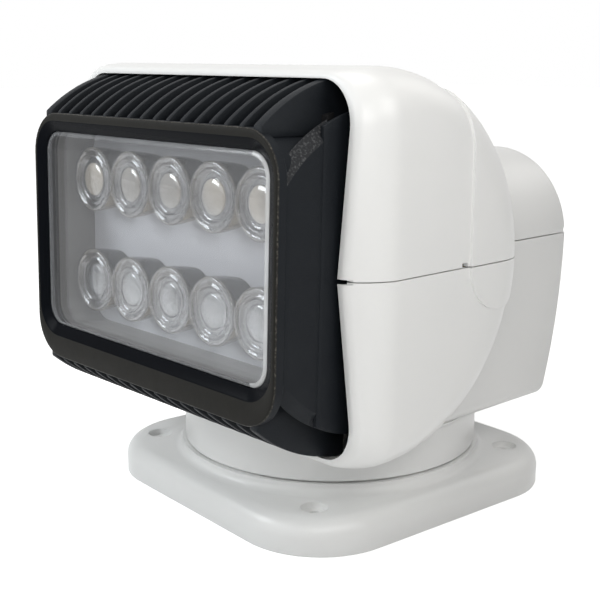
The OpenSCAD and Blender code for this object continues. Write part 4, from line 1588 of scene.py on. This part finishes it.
        # Only the top strip of the sloped edge takes the speckled edge finish; the bottom strip stays in the
        # dark side finish as painted shade
        for i in range(rows):
            mark(plate, (i + 1) * columns - strip, (i + 1) * columns, LampSlot.EDGE)
        return tidy_normals(plate)

    def cheeks(self, name: str, reach: Flat, sides: Flat, slope: float) -> Piece:
        """Makes a pair of side plates with rounded edges.

        Args:
            name: Name of the plates.
            reach: Front and back of the plates.
            sides: Inner and outer side of the plates.
            slope: How far the outer side slopes in before its round edge, or 0.

        Returns:
            Both plates as one piece.
        """
        plates = [self.cheek_plate(name, side, reach, sides, slope) for side in (-1.0, 1.0)]
        return bevel(join(name, plates), self.cheek_round, angle=30.0)

    def slab(self, name: str, half_w: float, outline: Sequence[Flat], width: float) -> Piece:
        """Extrudes an outline across the lamp and rounds its edges.

        Args:
            name: Name of the slab.
            half_w: Half of its width.
            outline: Points (y, z) of one closed loop.
            width: Width of the rounding.

        Returns:
            The slab, in the lamp's own frame.
        """
        count = len(outline)
        verts = [(x, y, z) for x in (-half_w, half_w) for y, z in outline]
        faces: list[tuple[int, ...]] = [(k, (k + 1) % count, count + (k + 1) % count, count + k)
                                        for k in range(count)]
        faces += [tuple(range(count)), tuple(range(2 * count - 1, count - 1, -1))]
        return bevel(tidy_normals(mesh_from(name, verts, faces)), width)

    def arc(self, radius: float, y0: float, y1: float, side: float) -> list[Flat]:
        """Points (y, z) on a circle round the tilt axis.

        Args:
            radius: Radius of the circle.
            y0: Where the arc starts.
            y1: Where it ends.
            side: 1 above the axis, -1 below it.

        Returns:
            The points of the arc.
        """
        start, end = math.acos(y0 / radius), math.acos(y1 / radius)
        angles = [start + (end - start) * k / self.arc_steps for k in range(self.arc_steps + 1)]
        return [(radius * math.cos(a), side * radius * math.sin(a)) for a in angles]

    def fin_outline(self, side: float, lap: float) -> list[Flat]:
        """Outline (y, z) of one fin above or below the lamp.

        Args:
            side: 1 above the lamp, -1 below it.
            lap: How far the fin's nose reaches down into the lip.

        Returns:
            The points of one closed loop.
        """
        nose = self.front + self.fin_nose
        step = self.lip_back + self.gap
        root = self.board_y + self.fin_root
        wall = side * (self.window_half_h + self.fin_clear + side * self.window_rise)
        foot = side * (self.core_half_h - self.fin_sink)
        under = side * (self.half_h - lap)
        return self.arc(self.outer_r, nose, self.fin_back, side) + [
            (self.fin_back, foot), (root, foot), (root, wall), (step, wall), (step, under), (nose, under)]

    def fins(self, palette: Palette) -> list[Piece]:
        """Repeats the fins above and below the lamp, with thicker ones at the ends.

        Args:
            palette: The finishes.

        Returns:
            The rows of fins.
        """
        row = RowTree("fin_row", False)
        span = self.fin_pitch * (self.fin_count - 1)
        made = []
        for side in (1.0, -1.0):
            fin = self.slab("fin", self.fin_t / 2.0, self.fin_outline(side, self.fin_lap), self.fin_round)
            made.append(row.spread(fin, self.fin_count - 2, 1, span - 2 * self.fin_pitch, 0.0,
                                   palette.casting, self.place))
            rib = self.slab("end_fin", self.end_fin_t / 2.0, self.fin_outline(side, self.end_fin_lap),
                            self.end_fin_round)
            made.append(row.spread(rib, 2, 1, span, 0.0, palette.casting, self.place))
        return made

    def body(self) -> list[Piece]:
        """Makes the casting's core, the ring round its board and its side plates.

        Returns:
            The pieces of the casting.
        """
        floor = self.board_y + self.board_t
        box = [(floor, -self.core_half_h), (self.core_back, -self.core_half_h),
               (self.core_back, self.core_half_h), (floor, self.core_half_h)]
        core = move(self.slab("core", self.core_half_w, box, self.core_round), self.place)
        barrel = self.arc(self.cheek_r, floor, self.frame_back, 1.0)
        barrel += reversed(self.arc(self.cheek_r, floor, self.frame_back, -1.0))
        frame = move(self.slab("frame", self.core_half_w, barrel, self.frame_round), self.place)
        outer = RoundFrame(self.half_w - self.rim_inset, self.rim_half_h, self.rim_r)
        back = floor + self.rim_lap
        loops = [outer.loop(self.crease), outer.loop(back),
                 self.window.loop(back, self.rim_clear), self.window.loop(self.crease, self.rim_clear)]
        rim = tidy_normals(loft("board_rim", loops, self.place))
        seat = self.half_w - self.panel_t
        flange = self.cheeks("flange", (self.crease - self.flange_lap, self.flange_back),
                             (self.cheek_inner, seat - self.gap), self.flange_slope)
        panel = self.cheeks("panel", (self.crease, self.panel_back), (seat, self.half_w), 0.0)
        return [core, frame, rim, flange, panel]

    def chamber(self) -> Piece:
        """Makes the chamber wall between the bezel's lip and the casting.

        Returns:
            The wall.
        """
        outer = RoundFrame(self.window_half_w + self.chamber_clear, self.window_half_h + self.chamber_clear,
                           self.window_r + self.chamber_corner, self.window_rise)
        inner = RoundFrame(outer.half_w - self.chamber_t, outer.half_h - self.chamber_t,
                           outer.corner_r - self.chamber_corner_t, self.window_rise)
        front = self.lip_back - self.chamber_lap
        loops = [outer.loop(front), outer.loop(self.crease), inner.loop(self.crease), inner.loop(front)]
        wall = loft("chamber", loops, self.place)
        mark(wall, 0, len(wall.data.polygons), LampSlot.SIDE)
        return smooth(tidy_normals(wall), self.casting_sharp)

    def cover(self) -> Piece:
        """Makes the thick clear cover with a soft front edge and a flange.

        Returns:
            The cover, with the slots of the painted highlight on its right edge and of its plain edge marked.
        """
        pane = RoundFrame(self.window_half_w - self.gap, self.window_half_h - self.gap,
                          self.window_r - self.gap, self.window_rise)
        loops = [pane.loop(self.lip_back + self.cover_flange_t, self.cover_flange),
                 pane.loop(self.lip_back, self.cover_flange), pane.loop(self.lip_back)]
        loops += pane.soft_edge(self.front + self.window_recess, self.cover_edge_deep, self.cover_edge)
        count = len(loops[0])
        last = (len(loops) - 1) * count
        faces = quads(len(loops), count, ring=True)
        faces += [tuple(range(count)), tuple(range(last, last + count))]
        window = mesh_from("window", [p for loop in loops for p in loop], faces, self.place)
        highlight_from = (pane.half_w - self.highlight_corner * pane.corner_r) * MM
        # Edge faces right of the corner take the painted highlight, the rest the plain edge
        for face in window.data.polygons[2 * count:last]:
            face.material_index = CoverSlot.PAINTED_HIGHLIGHT if face.center.x > highlight_from else CoverSlot.RIM
        return smooth(tidy_normals(window), self.cover_sharp)

    def side_profile(self) -> list[Flat]:
        """Profile of the clear side of one lens.

        Returns:
            Points (radius, height) of one closed loop.
        """
        steps = self.optic_side_steps
        h = self.optic_h - self.optic_rim_t
        outer = [(self.optic_foot_r + self.optic_flare * s, h * k / steps)
                 for k, (_, s) in enumerate(quarter(steps))]
        return outer + [(r - self.optic_side_t, z) for r, z in reversed(outer)]

    def front_profile(self) -> list[Flat]:
        """Profile of the ringed front of one lens.

        Returns:
            Points (radius, height) of one closed loop.
        """
        h = self.optic_h
        rim = [(r, h - deep) for r, deep in LENS_RIM]
        dome = [(self.dome_r * c, h - self.dome_h + self.dome_h * s) for c, s in quarter(self.dome_steps)]
        return rim + dome + [(0.0, h - self.optic_front_t), (self.optic_seat_r, h - self.optic_front_t)]

    def optic_place(self, lift: float) -> Matrix:
        """Where the grid of lenses sits, lifted off the board."""
        return (self.place @ Matrix.Translation((0.0, self.board_y - lift, self.window_rise))
                @ Matrix.Rotation(math.radians(90.0), 4, "X"))

    def optics(self, palette: Palette) -> list[Piece]:
        """Repeats the lens, its ringed front, its dark well and the disc in its eye on the two rows; the lens
        sides carry a painted reflection and painted shade.

        Args:
            palette: The finishes.

        Returns:
            The lenses' sides and then what goes with them.
        """
        grid = RowTree("optic_grid", True)
        width = self.optic_pitch * (self.optic_columns - 1)
        # The lens sides' finish paints a warm reflection, and shade on their tops
        kinds = (("lens_sides", self.side_profile(), self.optic_turns, palette.optic_side_reflection_and_shade, 0.0),
                 ("lens_fronts", self.front_profile(), self.optic_turns, palette.optic, 0.0),
                 ("lens_wells", LENS_WELL, self.well_turns, palette.well, self.optic_h - self.well_deep))
        made = []
        for name, profile, steps, finish, lift in kinds:
            piece = smooth(revolve(name, profile, steps), self.optic_sharp)
            made.append(grid.spread(piece, self.optic_columns, self.optic_rows, width, self.row_pitch, finish,
                                    self.optic_place(lift)))
        for name, finish, rise in (("upper", palette.eye, 0.5), ("lower", palette.eye_cool, -0.5)):
            eye = smooth(revolve("lens_eyes_" + name, LENS_EYE, self.well_turns), self.optic_sharp)
            row = Matrix.Translation((0.0, 0.0, rise * self.row_pitch))
            made.append(grid.spread(eye, self.optic_columns, 1, width, 0.0, finish,
                                    row @ self.optic_place(self.optic_h - self.eye_deep)))
        return made

    def build(self, solids: Solids, palette: Palette) -> None:
        """Makes the lamp's visible pieces and dresses the rest.

        Args:
            solids: All solids by name.
            palette: The finishes.
        """
        casting = smooth(join("finned_casting", self.body() + self.fins(palette)), self.casting_sharp)
        paint(casting, palette.casting, palette.side, palette.edge)
        place_piece(casting, "lamp", "lamp_casting", "lamp_housing")
        cheeks = self.cheeks("cheek", (self.lip_back - self.cheek_lap, self.crease),
                             (self.cheek_inner, self.half_w), self.cheek_slope)
        ring = smooth(join("bezel_ring", [self.bezel_lip(), cheeks, self.chamber()]), self.bezel_sharp)
        paint(ring, palette.lip, palette.side, palette.edge, palette.worn, palette.gloss)
        place_piece(ring, "lamp", "lamp_casting", "bezel")
        window = paint(self.cover(), palette.cover, palette.cover_edge, palette.cover_rim)
        place_piece(window, "lamp", "clear_cover", "lens")
        sides, *rest = self.optics(palette)
        count = self.optic_columns * self.optic_rows
        place_piece(sides, "lamp", "clear_optic", *[f"optic_{i}" for i in range(1, count + 1)])
        for piece in rest:
            place_piece(piece, "lamp", "clear_optic")
        dress(solids, palette.casting, "lamp_cover")
        dress(solids, palette.steel, "cover_screws", "bezel_pins", "trunnion_left", "trunnion_right",
              "sector_screws")
        dress(solids, palette.rubber, "lens_gasket", "lamp_gland")
        dress(solids, palette.tray, "optic_tray")
        dress(solids, palette.board, "led_board")
        dress(solids, palette.emitter, "led_emitters")
        dress(solids, palette.acetal, "tilt_sector")


@dataclass(frozen=True)
class SoftLamp:
    """A square soft lamp.

    Args:
        name: Name of the lamp.
        place: Where it stands, in millimetres.
        size: Side of its square, in millimetres.
        power: Power in watts.
        colour: Colour of its light.
    """

    name: str
    place: Point
    size: float
    power: float
    colour: Colour

    def build(self, target: Point) -> None:
        """Adds the lamp to the scene.

        Args:
            target: What it looks at, in millimetres.
        """
        data = bpy.data.lights.new(self.name, "AREA")
        data.size = self.size * MM
        data.energy = self.power
        data.color = self.colour
        obj = bpy.data.objects.new(self.name, data)
        aim = (Vector(target) - Vector(self.place)).to_track_quat("-Z", "Y").to_matrix().to_4x4()
        obj.matrix_world = Matrix.Translation(Vector(self.place) * MM) @ aim
        bpy.context.scene.collection.objects.link(obj)


SOFT_LAMPS = (
    SoftLamp("key", (330.0, -280.0, 260.0), 150.0, 0.46, (1.0, 0.99, 0.97)),
    SoftLamp("side", (390.0, -60.0, 330.0), 180.0, 0.44, (1.0, 0.99, 0.97)),
    SoftLamp("left", (-250.0, -430.0, 330.0), 200.0, 1.1, (0.94, 0.98, 1.0)),
    SoftLamp("front", (0.0, -850.0, 450.0), 450.0, 1.2, (0.97, 0.99, 1.0)),
    SoftLamp("back", (150.0, 800.0, 750.0), 500.0, 0.9, (1.0, 0.99, 0.97)),
    SoftLamp("top", (0.0, -100.0, 950.0), 450.0, 3.2, (1.0, 0.98, 0.95)),
)
WHITE = (1.0, 1.0, 1.0, 1.0)


@dataclass
class Studio:
    """Camera, floor, backdrop and lamps."""

    eye: Point = (386.2, -377.9, 208.9)
    azimuth: float = 47.25
    pitch: float = 12.5
    roll: float = 0.14
    lens: float = 66.28
    sensor: float = 36.0
    near: float = 10.0
    target: Point = (0.0, -50.0, 110.0)
    sky: Colour = (0.95, 0.97, 1.0)
    sky_strength: float = 0.04
    floor_half: float = 6000.0
    floor_z: float = -0.3
    floor_tone: float = 0.85
    floor_rough: float = 0.9
    fade_reach: Flat = (0.12, 0.55)
    fade_glow: Flat = (0.70, 1.0)

    def camera(self) -> None:
        """Sets the camera to the photograph's place."""
        data = bpy.data.cameras.new("camera")
        data.lens = self.lens
        data.sensor_width = self.sensor
        data.clip_start = self.near * MM
        cam = bpy.data.objects.new("camera", data)
        az, pitch = math.radians(self.azimuth), math.radians(self.pitch)
        ahead = Vector((-math.sin(az) * math.cos(pitch), math.cos(az) * math.cos(pitch), -math.sin(pitch)))
        turn = ahead.to_track_quat("-Z", "Y").to_matrix().to_4x4()
        cam.matrix_world = (Matrix.Translation(Vector(self.eye) * MM) @ turn
                            @ Matrix.Rotation(math.radians(self.roll), 4, "Z"))
        bpy.context.scene.collection.objects.link(cam)
        bpy.context.scene.camera = cam

    def background_rays(self, tree: Tree) -> Socket:
        """Finds the rays that see the background.

        Args:
            tree: Node tree to add to.

        Returns:
            A socket that is 1 for those rays.
        """
        path = tree.nodes.new("ShaderNodeLightPath").outputs
        seen = calc(tree, "MAXIMUM", path["Is Camera Ray"], path["Is Glossy Ray"])
        return calc(tree, "MAXIMUM", seen, path["Is Transmission Ray"])

    def world(self) -> None:
        """Makes a white backdrop and a soft overall light."""
        world = bpy.data.worlds.new("studio")
        bpy.context.scene.world = world
        world.use_nodes = True
        tree = world.node_tree
        soft = tree.nodes["Background"]
        feed(tree, soft, {"Color": (*self.sky, 1.0), "Strength": self.sky_strength})
        white = add_node(tree, "ShaderNodeBackground", {"Color": WHITE, "Strength": 1.0})
        mix = add_node(tree, "ShaderNodeMixShader", {
            "Fac": self.background_rays(tree), 1: soft.outputs[0], 2: white.outputs[0]})
        feed(tree, tree.nodes["World Output"], {"Surface": mix.outputs[0]})

    def floor(self) -> None:
        """Makes a pale floor that keeps a soft shadow."""
        half, z = self.floor_half, self.floor_z
        obj = mesh_from("floor", [(-half, -half, z), (half, -half, z), (half, half, z), (-half, half, z)],
                        [(0, 1, 2, 3)])
        mat = bpy.data.materials.new("floor_white")
        mat.use_nodes = True
        tree = mat.node_tree
        shader = tree.nodes["Principled BSDF"]
        tone = self.floor_tone
        feed(tree, shader, {"Base Color": (tone, tone, tone, 1.0), "Roughness": self.floor_rough})
        place = tree.nodes.new("ShaderNodeTexCoord")
        far = tree.nodes.new("ShaderNodeVectorMath")
        far.operation = "LENGTH"
        feed(tree, far, {0: place.outputs["Object"]})
        fade = ramp(tree, far.outputs["Value"], self.fade_reach, self.fade_glow)
        strength = calc(tree, "MULTIPLY", self.background_rays(tree), fade)
        glow = add_node(tree, "ShaderNodeEmission", {"Color": WHITE, "Strength": strength})
        both = add_node(tree, "ShaderNodeAddShader", {0: shader.outputs[0], 1: glow.outputs[0]})
        feed(tree, tree.nodes["Material Output"], {"Surface": both.outputs[0]})
        paint(obj, mat)

    def build(self) -> None:
        """Sets up the whole studio."""
        bpy.context.scene.view_settings.view_transform = "Standard"
        self.camera()
        self.world()
        self.floor()
        for lamp in SOFT_LAMPS:
            lamp.build(self.target)


def main() -> None:
    """Builds the searchlight and its studio."""
    logging.basicConfig(level=logging.INFO, format="%(message)s")
    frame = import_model()
    solids = frame["nodes"]
    palette = Palette()
    Studio().build()
    Foot().build(solids, palette)
    Head().build(solids, palette)
    Lamp().build(solids, palette)


if __name__ == "__main__":
    main()
